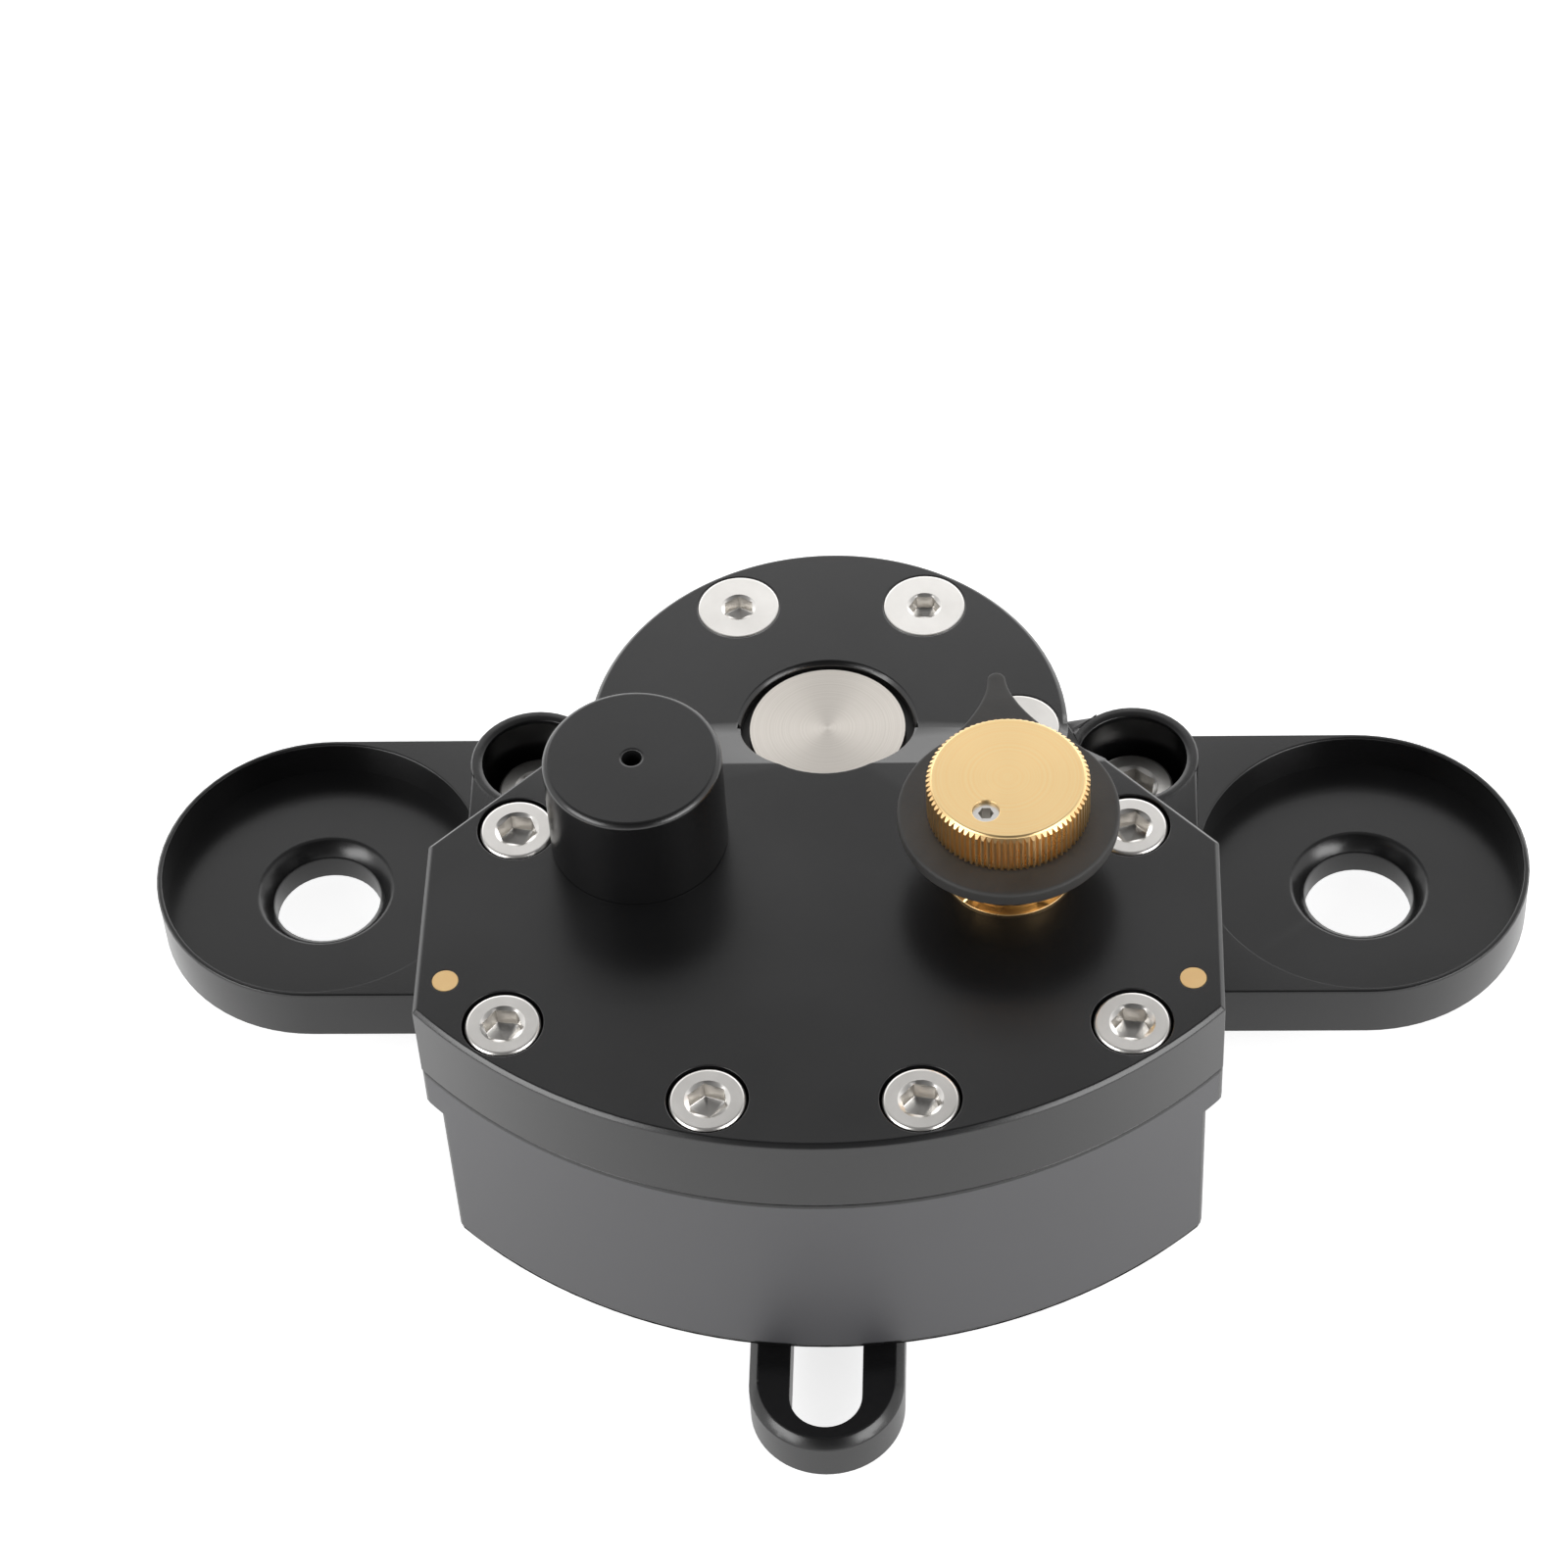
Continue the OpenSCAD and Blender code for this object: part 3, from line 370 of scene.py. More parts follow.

# %% [markdown]
# ## Breaking the edges
#
# No machined edge is truly sharp: a tumbler or a file breaks it, and the thin bright line that
# this leaves is half of what makes metal look like metal. The CAD mesh comes as loose
# triangles, so a copy is merged first and flat faces are dissolved. Outer edges then get a
# bevel weight, which a Bevel modifier reads. Inner corners, where no file reaches, are marked as
# sharp instead. Weighted normals keep the flats flat. The case's broken edges take the lid's
# glossy black: the gloss is real, and the darker colour is painted shade for the parting line.

# %% Broken edges
MERGE = 0.000002
FLAT = math.radians(1.0)
SHARP = math.radians(28.0)
AREA_WEIGHT = 100


def merged_shell(mesh):
    """A mesh opened for editing, with the points that coincide merged."""
    shell = bmesh.new()
    shell.from_mesh(mesh)
    bmesh.ops.remove_doubles(shell, verts=shell.verts, dist=MERGE)
    return shell


def close_shell(shell, mesh, smooth=True):
    """Writes edited faces into a mesh, all smooth or all flat."""
    for face in shell.faces:
        face.smooth = smooth
    shell.to_mesh(mesh)
    shell.free()
    return mesh


def even_light(source, keep_sharp):
    """Adds weighted normals, which keep a flat face flat beside its broken edge."""
    even = source.modifiers.new("even_light", "WEIGHTED_NORMAL")
    even.mode, even.weight, even.keep_sharp = "FACE_AREA", AREA_WEIGHT, keep_sharp


def final_mesh(source):
    """The mesh of an object after its modifiers. The object itself is removed."""
    graph = bpy.context.evaluated_depsgraph_get()
    mesh = bpy.data.meshes.new_from_object(source.evaluated_get(graph))
    bpy.data.objects.remove(source)
    return mesh


def finished(name, source, body, replaced):
    """Turns an object with modifiers into a plain piece that rides on a body."""
    mesh = final_mesh(source)
    piece = placed(name, mesh)
    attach(piece, body)
    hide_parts(*replaced)
    print(name, "has", sum(len(p.vertices) - 2 for p in mesh.polygons), "triangles")
    return piece


def broken_edges(node, name, body, width, steps=2, reshape=None, painted_shade_edge_finish=None):
    """A copy of a CAD node with its edges broken by that width in millimetres.

    A function may reshape the copy first, and the edges may have their own, darker finish as
    painted shade.
    """
    mesh = nodes[node].data.copy()
    shell = merged_shell(mesh)
    bmesh.ops.dissolve_limit(shell, angle_limit=FLAT, verts=shell.verts, edges=shell.edges)
    if reshape:
        reshape(shell)
    shell.normal_update()
    weight = shell.edges.layers.float.new("bevel_weight_edge")
    for edge in shell.edges:
        bend = edge.calc_face_angle_signed(0.0)
        edge[weight] = float(bend > SHARP)
        edge.smooth = bend > -SHARP
    raw = placed(name + "_raw", close_shell(shell, mesh))
    bevel = raw.modifiers.new("break", "BEVEL")
    bevel.width, bevel.segments = width * MM, steps
    bevel.limit_method = "WEIGHT"
    bevel.use_clamp_overlap = False
    if painted_shade_edge_finish:
        bevel.material = len(mesh.materials)
        mesh.materials.append(painted_shade_edge_finish)
    even_light(raw, keep_sharp=True)
    return finished(name, raw, body, [node])


broken_edges("compensator_cap", "reservoir_cap", "damper_body", width=0.2)
broken_edges("top_cover", "lid", "damper_body", width=0.12)
# The case's edges take the lid's glossy black. The gloss is real, and the darker colour is painted
# shade that draws the dark line of the parting gap.
broken_edges("housing", "case", "damper_body", width=0.6,
             painted_shade_edge_finish=black_anodise)
broken_edges("link_arm", "steering_link", "swing_arm", width=0.15)
broken_edges("bracket", "riser_bracket", "damper_body", width=0.3, steps=1)

# %% [markdown]
# ## Screws
#
# Twelve socket screws hold the damper together: six with cylinder heads round the lid, four
# countersunk ones round the shaft and two larger ones in the bracket's lobes. Each kind is one
# turned mesh, made of rings of points: the same ring can be round or hexagonal, so the socket
# grows out of the round head without a boolean. The thread is a row of ribs. The tables give an
# edge as steps inwards and down, in millimetres.

# %% One screw from rings
SIDES = 48
THREAD_DEPTH = 0.3
RIB_ROOT, RIB_CREST, RIB_END = 0.3, 0.75, 0.95
CAP_RIM = (0, 0.45), (0.08, 0.2), (0.25, 0.04), (0.4, 0), (0.45, 0)
FLAT_RIM = (0.1, 0.22), (0.02, 0.12), (0.06, 0.03), (0.16, 0), (0.21, 0)
SOCKET_MOUTH = (-0.17, 0), (-0.12, 0), (-0.02, 0.06)
SOCKET_CORNER, SOCKET_FLOOR_EDGE, SOCKET_FLOOR_IN = 1.2, 0.1, 0.12
CAP_THREAD_END, CAP_NECK, CAP_GAP, CAP_FOOT, CAP_MOUTH = 1.2, 0.8, 0.02, 0.15, 0.22
FLAT_THREAD_END, FLAT_NECK, FLAT_MOUTH, FLAT_FLOOR = 1.0, 0.5, 0.2, 0.15
CAP_DRILL, FLAT_DRILL = 0.5, 0.3


def ring_points(radius, z, hexagonal):
    """One ring of points in metres. A hexagonal ring takes half its width across flats."""
    points = []
    for k in range(SIDES):
        angle = 2 * math.pi * k / SIDES
        corner = math.cos(angle % (math.pi / 3) - math.pi / 6)
        r = radius / corner if hexagonal else radius
        points.append(Vector((r * math.cos(angle), r * math.sin(angle), z)) * MM)
    return points


def turned_mesh(name, bottom, rings, top):
    """A closed mesh from a lower pole, rings of (radius, z, hexagonal) and an upper pole."""
    shell = bmesh.new()
    loops = [[shell.verts.new(p) for p in ring_points(*ring)] for ring in rings]
    poles = [shell.verts.new(Vector((0, 0, z)) * MM) for z in (bottom, top)]
    for k in range(SIDES):
        n = (k + 1) % SIDES
        shell.faces.new((poles[0], loops[0][n], loops[0][k]))
        shell.faces.new((poles[1], loops[-1][k], loops[-1][n]))
        for low, high in zip(loops, loops[1:]):
            shell.faces.new((low[k], low[n], high[n], high[k]))
    return close_shell(shell, bpy.data.meshes.new(name))


def thread_rings(radius, tip_z, end_z, pitch):
    """Ribs from the screw's tip up to the end of its thread."""
    rings = [(radius - 2 * THREAD_DEPTH, tip_z, False)]
    for k in range(int((end_z - tip_z) / pitch)):
        rings.append((radius - THREAD_DEPTH, tip_z + (k + RIB_ROOT) * pitch, False))
        rings.append((radius, tip_z + (k + RIB_CREST) * pitch, False))
        rings.append((radius, tip_z + (k + RIB_END) * pitch, False))
    return rings


def edge_rings(radius, top, steps):
    """Round rings along an edge, given as steps inwards and down."""
    return [(radius - inwards, top - down, False) for inwards, down in steps]


def socket_rings(half, top, mouth, floor):
    """A hexagon socket: its round mouth, its wall and the edge of its floor."""
    return edge_rings(half * SOCKET_CORNER, top, SOCKET_MOUTH) + [
        (half, top - mouth, True), (half, floor + SOCKET_FLOOR_EDGE, True),
        (half - SOCKET_FLOOR_IN, floor, True)]


def cap_screw(name, d, head_d, head_h, length, socket, pitch):
    """A cylinder-head screw that sits on z = 0."""
    r, head_r, half = d / 2, head_d / 2, socket / 2
    neck = [(r, -CAP_NECK, False), (r, -CAP_GAP, False),
            (head_r - CAP_FOOT, 0, False), (head_r, CAP_FOOT, False)]
    rings = (thread_rings(r, -length, -CAP_THREAD_END, pitch) + neck
             + edge_rings(head_r, head_h, CAP_RIM)
             + socket_rings(half, head_h, CAP_MOUTH, head_h / 2))
    return turned_mesh(name, -length, rings, head_h / 2 - half * CAP_DRILL)


def flat_screw(name, d, head_d, length, socket, pitch):
    """A countersunk screw whose top lies on z = 0."""
    r, head_r, half = d / 2, head_d / 2, socket / 2
    cone = head_r - r
    neck = [(r, -cone - FLAT_NECK, False), (r, -cone, False)]
    rings = (thread_rings(r, -length, -cone - FLAT_THREAD_END, pitch) + neck
             + edge_rings(head_r, 0, FLAT_RIM)
             + socket_rings(half, 0, FLAT_MOUTH, FLAT_FLOOR - cone))
    return turned_mesh(name, -length, rings, -cone - FLAT_DRILL)


# %% [markdown]
# Placing them by hand would repeat the same lines twelve times. A small Geometry Nodes tree
# does it instead: it puts a screw on every point of a mesh, gives each a turn of its own from a
# fixed seed, and makes the copies real.

# %% Screw tree


def new_tree(name, inputs):
    """A Geometry Nodes tree with named inputs: (tree, input node, output node, identifiers)."""
    tree = bpy.data.node_groups.new(name, "GeometryNodeTree")
    face = tree.interface
    face.new_socket("Geometry", in_out="OUTPUT", socket_type="NodeSocketGeometry")
    sockets = {label: face.new_socket(label, in_out="INPUT", socket_type="NodeSocket" + kind)
               for label, kind in inputs}
    return (tree, tree.nodes.new("NodeGroupInput"), tree.nodes.new("NodeGroupOutput"),
            {label: socket.identifier for label, socket in sockets.items()})


def close_tree(tree, given, out, geometry):
    """Makes instances real, sets the finish and ends the tree."""
    real = tree.nodes.new("GeometryNodeRealizeInstances")
    paint = tree.nodes.new("GeometryNodeSetMaterial")
    tree.links.new(geometry, real.inputs["Geometry"])
    tree.links.new(real.outputs["Geometry"], paint.inputs["Geometry"])
    tree.links.new(given.outputs["Finish"], paint.inputs["Material"])
    tree.links.new(paint.outputs["Geometry"], out.inputs["Geometry"])


def grow(holder, tree, identifiers, values):
    """Runs a tree on an object, with a value for each named input."""
    modifier = holder.modifiers.new(tree.name, "NODES")
    modifier.node_group = tree
    for label, value in values.items():
        modifier[identifiers[label]] = value


def one_model(tree, model):
    """The geometry of a model object, as one instance."""
    node = tree.nodes.new("GeometryNodeObjectInfo")
    node.inputs["As Instance"].default_value = True
    tree.links.new(model, node.inputs["Object"])
    return node.outputs["Geometry"]


screw_tree, given, out, SCREW_IN = new_tree("screw_rows", [
    ("Places", "Geometry"), ("Screw", "Object"), ("Widest turn", "Float"), ("Seed", "Int"),
    ("Finish", "Material")])
FLOAT_MAX, FLOAT_VALUE = 3, 1  # sockets of a Random Value node that serve plain numbers
turn = screw_tree.nodes.new("ShaderNodeCombineXYZ")
chance = screw_tree.nodes.new("FunctionNodeRandomValue")
spots = screw_tree.nodes.new("GeometryNodeInstanceOnPoints")
link = screw_tree.links.new
link(given.outputs["Seed"], chance.inputs["Seed"])
link(given.outputs["Widest turn"], chance.inputs[FLOAT_MAX])
link(chance.outputs[FLOAT_VALUE], turn.inputs["Z"])
link(given.outputs["Places"], spots.inputs["Points"])
link(one_model(screw_tree, given.outputs["Screw"]), spots.inputs["Instance"])
link(turn.outputs["Vector"], spots.inputs["Rotation"])
close_tree(screw_tree, given, out, spots.outputs["Instances"])


def even_shade(piece):
    """Keeps flats flat on a mesh whose edges are already broken."""
    piece.data.shade_smooth()
    piece.data.set_sharp_from_angle(angle=SHARP)


def screw_row(name, mesh, places, seed, replaced):
    """Real screws at places given on the damper in millimetres."""
    model = bpy.data.objects.new(name + "_model", mesh)
    places_mesh = bpy.data.meshes.new(name + "_places")
    places_mesh.from_pydata([on_damper(*p) for p in places], [], [])
    row = placed(name + "_raw", places_mesh)
    grow(row, screw_tree, SCREW_IN,
         {"Screw": model, "Widest turn": math.pi / 3, "Seed": seed, "Finish": screw_steel})
    even_shade(finished(name, row, "damper_body", [replaced]))
    bpy.data.objects.remove(model)


# %% [markdown]
# The places are those of the CAD. The lid's screws are sunk in its face with their heads just
# below it, the countersunk ones lie on a circle round the shaft, and the bracket's stand deep in
# their lobes.

# %% Rows of screws
HEAD_H, HEAD_SINK, LID_THREAD = 5.0, 0.1, 5.0
HEAD_SEAT = COVER_FRONT - HEAD_SINK - HEAD_H
FRONT_R, FRONT_ANGLES = 57.2, (-36.9, -11.6, 11.6, 36.9)
REAR_X, REAR_Y = 34.6, -18.0
SHAFT_ROW_R, SHAFT_ROW_ANGLES, SHAFT_THREAD = 22, (0, 60, 120, 180), 14.2
LOBE_X, LOBE_Y, LOBE_SEAT = 35.5, 7.0, -17.8

lid_row = [(FRONT_R * math.sin(a), -FRONT_R * math.cos(a), HEAD_SEAT)
           for a in map(math.radians, FRONT_ANGLES)]
lid_row += [(side * REAR_X, REAR_Y, HEAD_SEAT) for side in (-1, 1)]
lid_screw = cap_screw("lid_screw", d=5, head_d=8.5, head_h=HEAD_H, length=HEAD_SEAT + LID_THREAD,
                      socket=4, pitch=0.8)
screw_row("lid_screws", lid_screw, lid_row, seed=3, replaced="cover_screws")

shaft_row = [(SHAFT_ROW_R * math.cos(a), SHAFT_ROW_R * math.sin(a), COVER_REAR)
             for a in map(math.radians, SHAFT_ROW_ANGLES)]
shaft_screw = flat_screw("countersunk_screw", d=5, head_d=9.6, length=COVER_REAR + SHAFT_THREAD,
                         socket=3.2, pitch=0.8)
screw_row("countersunk_screws", shaft_screw, shaft_row, seed=5, replaced="mounting_screws")

lobe_row = [(side * LOBE_X, LOBE_Y, LOBE_SEAT) for side in (-1, 1)]
lobe_screw = cap_screw("lobe_screw", d=6, head_d=10, head_h=6, length=20, socket=5, pitch=1.0)
screw_row("lobe_screws", lobe_screw, lobe_row, seed=8, replaced="bracket_screws")

# %% [markdown]
# ## The knurled knob
#
# The brass knob has a straight knurl: a wheel pressed eighty V grooves into its wall, right up
# into the chamfer of its top. The knob's own solid is copied and its wall is drawn in to the
# bottom of the grooves, along the chamfer. Geometry Nodes then sets the teeth round it.

# %% Knob and teeth
KNOB_R, GROOVE, RIM_FOOT, CHAMFER_FOOT = 9.0, 0.4, 20.4, 25.2
TEETH = 80
TOOTH_HALF, TOOTH_FLAT, TOOTH_ROOT = 0.34, 0.11, 0.12
TOOTH_LIFT, TOOTH_BREAK = 0.1, 0.15
KNOB = DAMPER @ Matrix.Translation((*KNOB_AT, 0))
TO_KNOB = KNOB.inverted()


def draw_in_wall(shell):
    """Moves the knob's wall in to the bottom of the grooves, and its upper edge up the chamfer."""
    for vert in shell.verts:
        local = TO_KNOB @ vert.co
        reach = math.hypot(local.x, local.y)
        if reach > KNOB_R - GROOVE / 2:
            shrink = (KNOB_R - GROOVE) / reach
            rise = GROOVE if local.z > CHAMFER_FOOT - GROOVE else 0
            vert.co = KNOB @ Vector((local.x * shrink, local.y * shrink, local.z + rise))


broken_edges("adjuster_knob", "knob", "adjuster", width=0.08, reshape=draw_in_wall)


def tooth_mesh():
    """One tooth, standing on the groove circle, with its outside towards +X."""
    low, top = RIM_FOOT + TOOTH_LIFT, CHAMFER_FOOT + GROOVE + TOOTH_ROOT / 2
    full = low + TOOTH_BREAK
    shell = bmesh.new()
    rows = []
    for inner_z, outer_z, reach in ((low, low, GROOVE - TOOTH_BREAK), (full, full, GROOVE),
                                    (top, CHAMFER_FOOT, GROOVE)):
        corners = ((-TOOTH_ROOT, -TOOTH_HALF, inner_z), (reach, -TOOTH_FLAT, outer_z),
                   (reach, TOOTH_FLAT, outer_z), (-TOOTH_ROOT, TOOTH_HALF, inner_z))
        rows.append([shell.verts.new(Vector(p) * MM) for p in corners])
    for low_row, high_row in zip(rows, rows[1:]):
        for k in range(4):
            n = (k + 1) % 4
            shell.faces.new((low_row[k], low_row[n], high_row[n], high_row[k]))
    shell.faces.new(rows[0][::-1])
    shell.faces.new(rows[-1])
    bmesh.ops.recalc_face_normals(shell, faces=shell.faces)
    return close_shell(shell, bpy.data.meshes.new("tooth"), smooth=False)


knurl_tree, given, out, KNURL_IN = new_tree("straight_knurl", [
    ("Tooth", "Object"), ("Count", "Int"), ("Radius", "Float"), ("Finish", "Material")])
link = knurl_tree.links.new
circle = knurl_tree.nodes.new("GeometryNodeMeshCircle")
index = knurl_tree.nodes.new("GeometryNodeInputIndex")
facing = knurl_tree.nodes.new("ShaderNodeCombineXYZ")
ring = knurl_tree.nodes.new("GeometryNodeInstanceOnPoints")
one_step = maths(knurl_tree, "DIVIDE", 2 * math.pi, given.outputs["Count"])
link(given.outputs["Count"], circle.inputs["Vertices"])
link(given.outputs["Radius"], circle.inputs["Radius"])
link(maths(knurl_tree, "MULTIPLY", index.outputs["Index"], one_step), facing.inputs["Z"])
link(circle.outputs["Mesh"], ring.inputs["Points"])
link(one_model(knurl_tree, given.outputs["Tooth"]), ring.inputs["Instance"])
link(facing.outputs["Vector"], ring.inputs["Rotation"])
close_tree(knurl_tree, given, out, ring.outputs["Instances"])

tooth = bpy.data.objects.new("tooth_model", tooth_mesh())
knurl = placed("knurl_raw", bpy.data.meshes.new("knurl_raw"))
grow(knurl, knurl_tree, KNURL_IN,
     {"Tooth": tooth, "Count": TEETH, "Radius": (KNOB_R - GROOVE) * MM, "Finish": base_brass})
knurl_mesh = final_mesh(knurl)
bpy.data.objects.remove(tooth)
knurl_mesh.transform(KNOB @ Matrix.Scale(1 / MM, 4))
knurl = placed("knob_knurl", knurl_mesh)
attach(knurl, "adjuster")
print("knurl has", len(knurl_mesh.polygons), "faces")

# %% [markdown]
# ## The knob's brass foot
#
# The base under the ring spreads to a thin rim with a cone above it, and only that cone shows from
# the camera's height. The CAD solid is a stepped cylinder of the same width, so the step's two
# edges are let down until the flat between them becomes the cone.

# %% Flared base
STEP_Z, STEP_INSIDE, STEP_MIDDLE, RIM_H, CONE_H = 15.4, 6.0, 7.0, 0.35, 1.2


def let_down_step(shell):
    """Turns the base's step into a cone close to the lid."""
    for vert in shell.verts:
        local = TO_KNOB @ vert.co
        reach = math.hypot(local.x, local.y)
        if abs(local.z - STEP_Z) < MERGE / MM and reach > STEP_INSIDE:
            low = COVER_FRONT + RIM_H + (CONE_H if reach < STEP_MIDDLE else 0)
            vert.co = KNOB @ Vector((local.x, local.y, low))


broken_edges("adjuster_base", "knob_foot", "damper_body", width=0.06,
             reshape=let_down_step)

# %% [markdown]
# ## The pointer ring
#
# Below the knob lies a soft ring with a pointer like a fin: its flanks are hollow and its tip is
# round. The CAD solid carries a plain triangle, which could be rounded by a modifier, but a drawn
# outline gives the hollow flanks directly. A flat curve does it: one loop for the outside, one
# for each hole, a thickness, and a rounded edge that is taken back so that nothing grows.

# %% Pointer outline
RING_R, RING_FOOT, RING_T, RING_EDGE = 12.3, 18.5, 1.9, 0.4
TIP_R, TIP_CENTRE = 1.05, 19.3
ROOT_HALF, ROOT_AT, HOLLOW = 4.6, 12.2, 1.7
FLANK_STEP, FLANK_STEPS, FLANK_CLEAR, FOOT_LEAD = 0.2, 60, 0.05, 2
RING_STEPS, TIP_STEPS, EDGE_STEPS = 120, 16, 3
SPINDLE_R, SPINDLE_POINTS = 3.0, 60
SET_SCREW_R, SET_SCREW_AT, SET_SCREW_POINTS = 1.5, (-2.73, -4.62), 30
POINTER_TURN = math.radians(4)


def around(radius, centre, start, stop, count):
    """Points on an arc, with angles in degrees."""
    angles = [math.radians(start + (stop - start) * k / count) for k in range(count + 1)]
    return [(centre[0] + radius * math.cos(a), centre[1] + radius * math.sin(a)) for a in angles]


def whole_circle(radius, centre, count):
    """That many points on a circle, the first one not repeated."""
    return around(radius, centre, 0, 360 - 360 / count, count - 1)


def pointer_outline():
    """The ring's outside, from the tip's right side round to where it starts, pointing to +Y."""
    flank = []
    for k in range(1, FLANK_STEPS):
        y = TIP_CENTRE - FLANK_STEP * k
        back = (TIP_CENTRE - y) / (TIP_CENTRE - ROOT_AT)
        x = TIP_R + (ROOT_HALF - TIP_R) * back ** HOLLOW
        if math.hypot(x, y) < RING_R + FLANK_CLEAR:
            break
        flank.append((x, y))
    foot = math.degrees(math.atan2(flank[-1][1], flank[-1][0])) - FOOT_LEAD
    outside = around(RING_R, (0, 0), 180 - foot, 360 + foot, RING_STEPS)
    tip = around(TIP_R, (0, TIP_CENTRE), 0, 180, TIP_STEPS)
    return tip + [(-x, y) for x, y in flank] + outside + flank[::-1]


def flat_piece(name, loops, thickness, edge):
    """A mesh from closed loops in millimetres, with its edges rounded."""
    curve = bpy.data.curves.new(name, "CURVE")
    curve.dimensions, curve.fill_mode = "2D", "BOTH"
    curve.extrude, curve.bevel_depth = (thickness / 2 - edge) * MM, edge * MM
    curve.offset, curve.bevel_resolution = -edge * MM, EDGE_STEPS
    for loop in loops:
        line = curve.splines.new("POLY")
        line.points.add(len(loop) - 1)
        line.use_cyclic_u = True
        for point, (x, y) in zip(line.points, loop):
            point.co = (x * MM, y * MM, 0, 1)
    mesh = final_mesh(placed(name + "_curve", curve))
    shell = merged_shell(mesh)
    bmesh.ops.recalc_face_normals(shell, faces=shell.faces)
    print(name, "open edges:", sum(len(e.link_faces) != 2 for e in shell.edges))
    return close_shell(shell, mesh)


pointer_loops = [pointer_outline(), whole_circle(SPINDLE_R, (0, 0), SPINDLE_POINTS),
                 whole_circle(SET_SCREW_R, SET_SCREW_AT, SET_SCREW_POINTS)]
pointer_mesh = flat_piece("pointer", pointer_loops, RING_T, RING_EDGE)
pointer_mesh.transform(KNOB @ Matrix.Translation((0, 0, RING_FOOT + RING_T / 2))
                       @ Matrix.Rotation(POINTER_TURN, 4, "Z") @ Matrix.Scale(1 / MM, 4))
pointer_mesh.materials.append(ring_rubber)
pointer = placed("pointer_raw", pointer_mesh)
even_light(pointer, keep_sharp=False)
finished("rubber_pointer", pointer, "adjuster", ["pointer_ring"])

# %% [markdown]
# ## The compensator's spring
#
# Under the black cap a coil spring holds the piston that makes room for warm oil. The spring gets
# shorter as the piston rises, which a solid that rides on one body can't do. Its copy is merged
# and rides on the damper's body as it is.

# %% Coil spring
spring_mesh = nodes["compensator_spring"].data.copy()
spring = placed("coil_spring", close_shell(merged_shell(spring_mesh), spring_mesh))
even_shade(spring)
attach(spring, "damper_body")
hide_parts("compensator_spring")
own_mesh(spring)

# %% [markdown]
# ## Floor and light
#
# The photograph stands on pure white. A floor that is lit until it clips would also burn the
# pale metal, so the floor adds a little glow of its own for the camera and for mirrors, and the
# lamps stay at a plain level. In mirrors the glow is weaker straight before and behind the part,
# as painted shade for the part's shade on the paper. The shadow under the part remains.

# %% Floor
FLOOR_HALF, FLOOR_DROP = 3.0, 0.0005
PAPER = (0.93, 0.93, 0.93, 1)
CAMERA_GLOW, SHADED_GLOW, MIRROR_GLOW = 0.75, 0.40, 0.85
SHADE_HALF, SHADE_END = 0.04, 0.12

floor_z = cad_low.z - FLOOR_DROP
corners = [(-FLOOR_HALF, -FLOOR_HALF), (FLOOR_HALF, -FLOOR_HALF),
           (FLOOR_HALF, FLOOR_HALF), (-FLOOR_HALF, FLOOR_HALF)]
floor_mesh = bpy.data.meshes.new("floor")
floor_mesh.from_pydata([(x, y, floor_z) for x, y in corners], [], [(0, 1, 2, 3)])
floor = placed("floor", floor_mesh)

paper, tree, shader = new_finish("white_paper")
tree.nodes.remove(shader)
matte = add(tree, "ShaderNodeBsdfDiffuse")
matte.inputs["Color"].default_value = PAPER
glow = add(tree, "ShaderNodeEmission")
both = add(tree, "ShaderNodeAddShader")
path = add(tree, "ShaderNodeLightPath")
across = add(tree, "ShaderNodeSeparateXYZ")
tree.links.new(object_place(tree), across.inputs["Vector"])
aside = maths(tree, "ABSOLUTE", across.outputs["X"])
# Painted shade: the glow that mirrors see drops near x = 0, before and behind the part.
mirror_glow_painted_shade = smooth_step(tree, aside, SHADE_HALF, SHADE_END, SHADED_GLOW, MIRROR_GLOW)
in_mirrors = maths(tree, "MULTIPLY", path.outputs["Is Glossy Ray"], mirror_glow_painted_shade)
in_view = maths(tree, "MULTIPLY_ADD", path.outputs["Is Camera Ray"], CAMERA_GLOW, in_mirrors)
tree.links.new(in_view, glow.inputs["Strength"])
tree.links.new(matte.outputs["BSDF"], both.inputs[0])
tree.links.new(glow.outputs["Emission"], both.inputs[1])
tree.links.new(both.outputs["Shader"], tree.nodes["Material Output"].inputs["Surface"])
floor_mesh.materials.append(paper)
print("floor at", round(floor_z, 4))

# %% [markdown]
# Three lamps and a pale world light the part as a product table does. The largest stands behind,
# where the tops of the part mirror it into the lens, and two smaller ones to the left and right
# put the bright spots into chamfers. White walls fade to a darker ceiling, so the near half of the
# lid, which mirrors the ceiling, falls off to black. A dark patch surrounds the camera, and
# chamfers that face the lens show it as a thin black line.

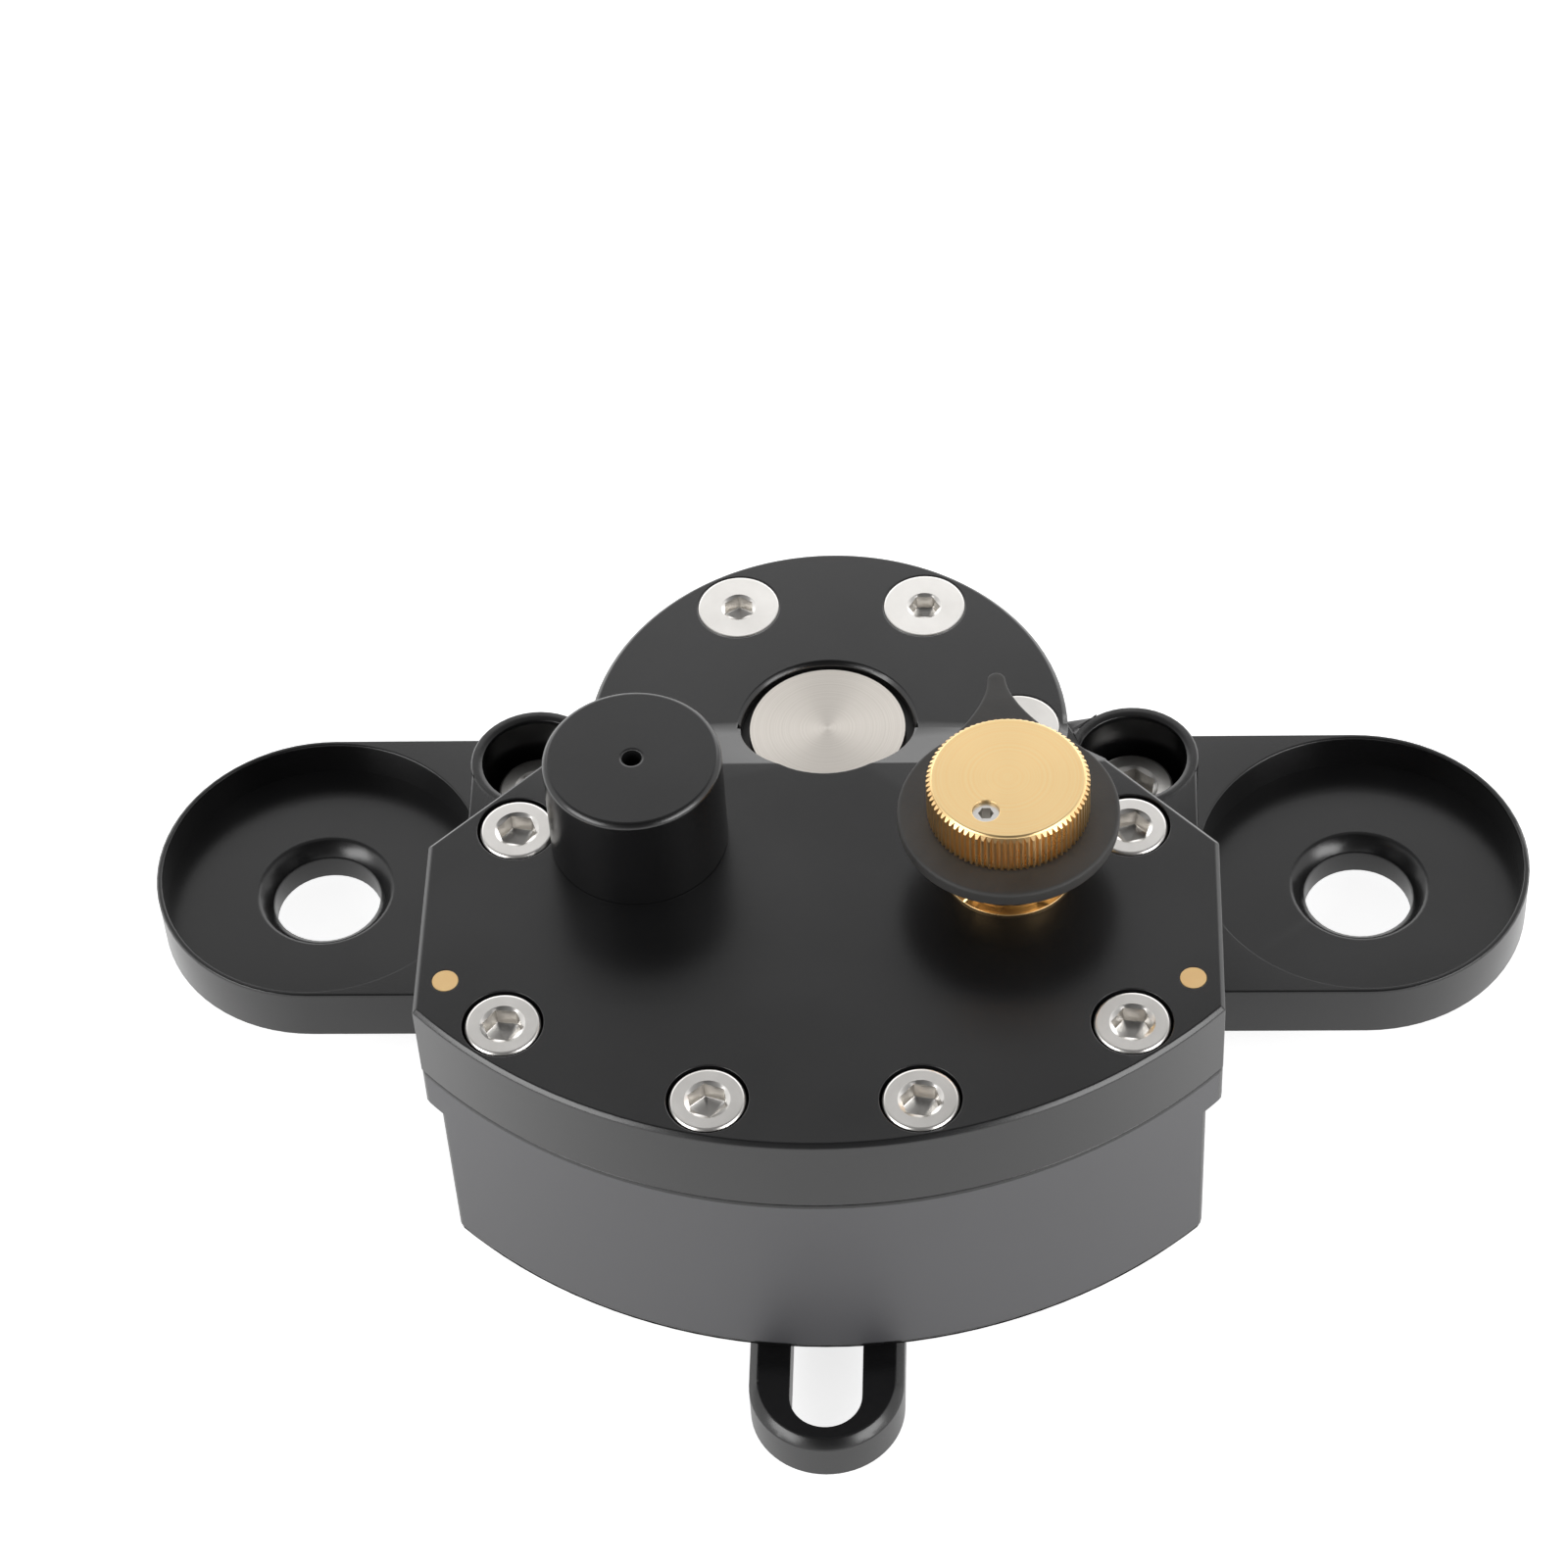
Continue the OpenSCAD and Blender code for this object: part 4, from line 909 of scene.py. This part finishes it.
# %% Lamps and world
AIM = (0, 0, 0)
LAMPS = [  # name, place, width and height in metres, power in watts
    ("back_lamp", (0, 1.35, 0.55), 2.2, 1.3, 9.5),
    ("left_lamp", (-1.0, -0.69, 0.69), 0.9, 0.5, 6.5),
    ("right_lamp", (1.0, -0.69, 0.69), 0.9, 0.5, 6.5),
]
WALL_TOP, CEILING_FROM, CEILING_LEVEL = 0.55, 0.92, 0.22
DARK_EDGE, DARK_CORE = math.cos(math.radians(42)), math.cos(math.radians(20))
WALL_LEVEL, DARK_LEVEL, SKY_LEVEL = 1.0, 0.12, 0.4


def soft_lamp(name, place, width, height, power):
    """A rectangular lamp that faces the part."""
    lamp = bpy.data.lights.new(name, "AREA")
    lamp.shape, lamp.size, lamp.size_y, lamp.energy = "RECTANGLE", width, height, power
    holder = placed(name, lamp)
    holder.location = place
    holder.rotation_euler = (Vector(AIM) - Vector(place)).to_track_quat("-Z", "Y").to_euler()


for lamp_settings in LAMPS:
    soft_lamp(*lamp_settings)

world = bpy.data.worlds.new("studio")
scene.world = world
world.use_nodes = True
tree = world.node_tree
sky = tree.nodes["Background"]
path = add(tree, "ShaderNodeLightPath")
seen = path.outputs
mirrored = maths(tree, "MAXIMUM", seen["Is Glossy Ray"], seen["Is Transmission Ray"])
visible = maths(tree, "MAXIMUM", mirrored, seen["Is Camera Ray"])
direction = add(tree, "ShaderNodeTexCoord").outputs["Generated"]
upward = add(tree, "ShaderNodeSeparateXYZ")
tree.links.new(direction, upward.inputs["Vector"])
ceiling = smooth_step(tree, upward.outputs["Z"], WALL_TOP, CEILING_FROM, WALL_LEVEL, CEILING_LEVEL)
towards = add(tree, "ShaderNodeVectorMath", operation="DOT_PRODUCT")
towards.inputs[1].default_value = CAMERA_PLACE.normalized()
tree.links.new(direction, towards.inputs[0])
patch = smooth_step(tree, towards.outputs["Value"], DARK_EDGE, DARK_CORE, WALL_LEVEL, DARK_LEVEL)
level = add(tree, "ShaderNodeMix", data_type="FLOAT")
level.inputs["A"].default_value = SKY_LEVEL
tree.links.new(visible, level.inputs["Factor"])
tree.links.new(maths(tree, "MULTIPLY", ceiling, patch), level.inputs["B"])
tree.links.new(level.outputs["Result"], sky.inputs["Strength"])
sky.inputs["Color"].default_value = (1, 1, 1, 1)
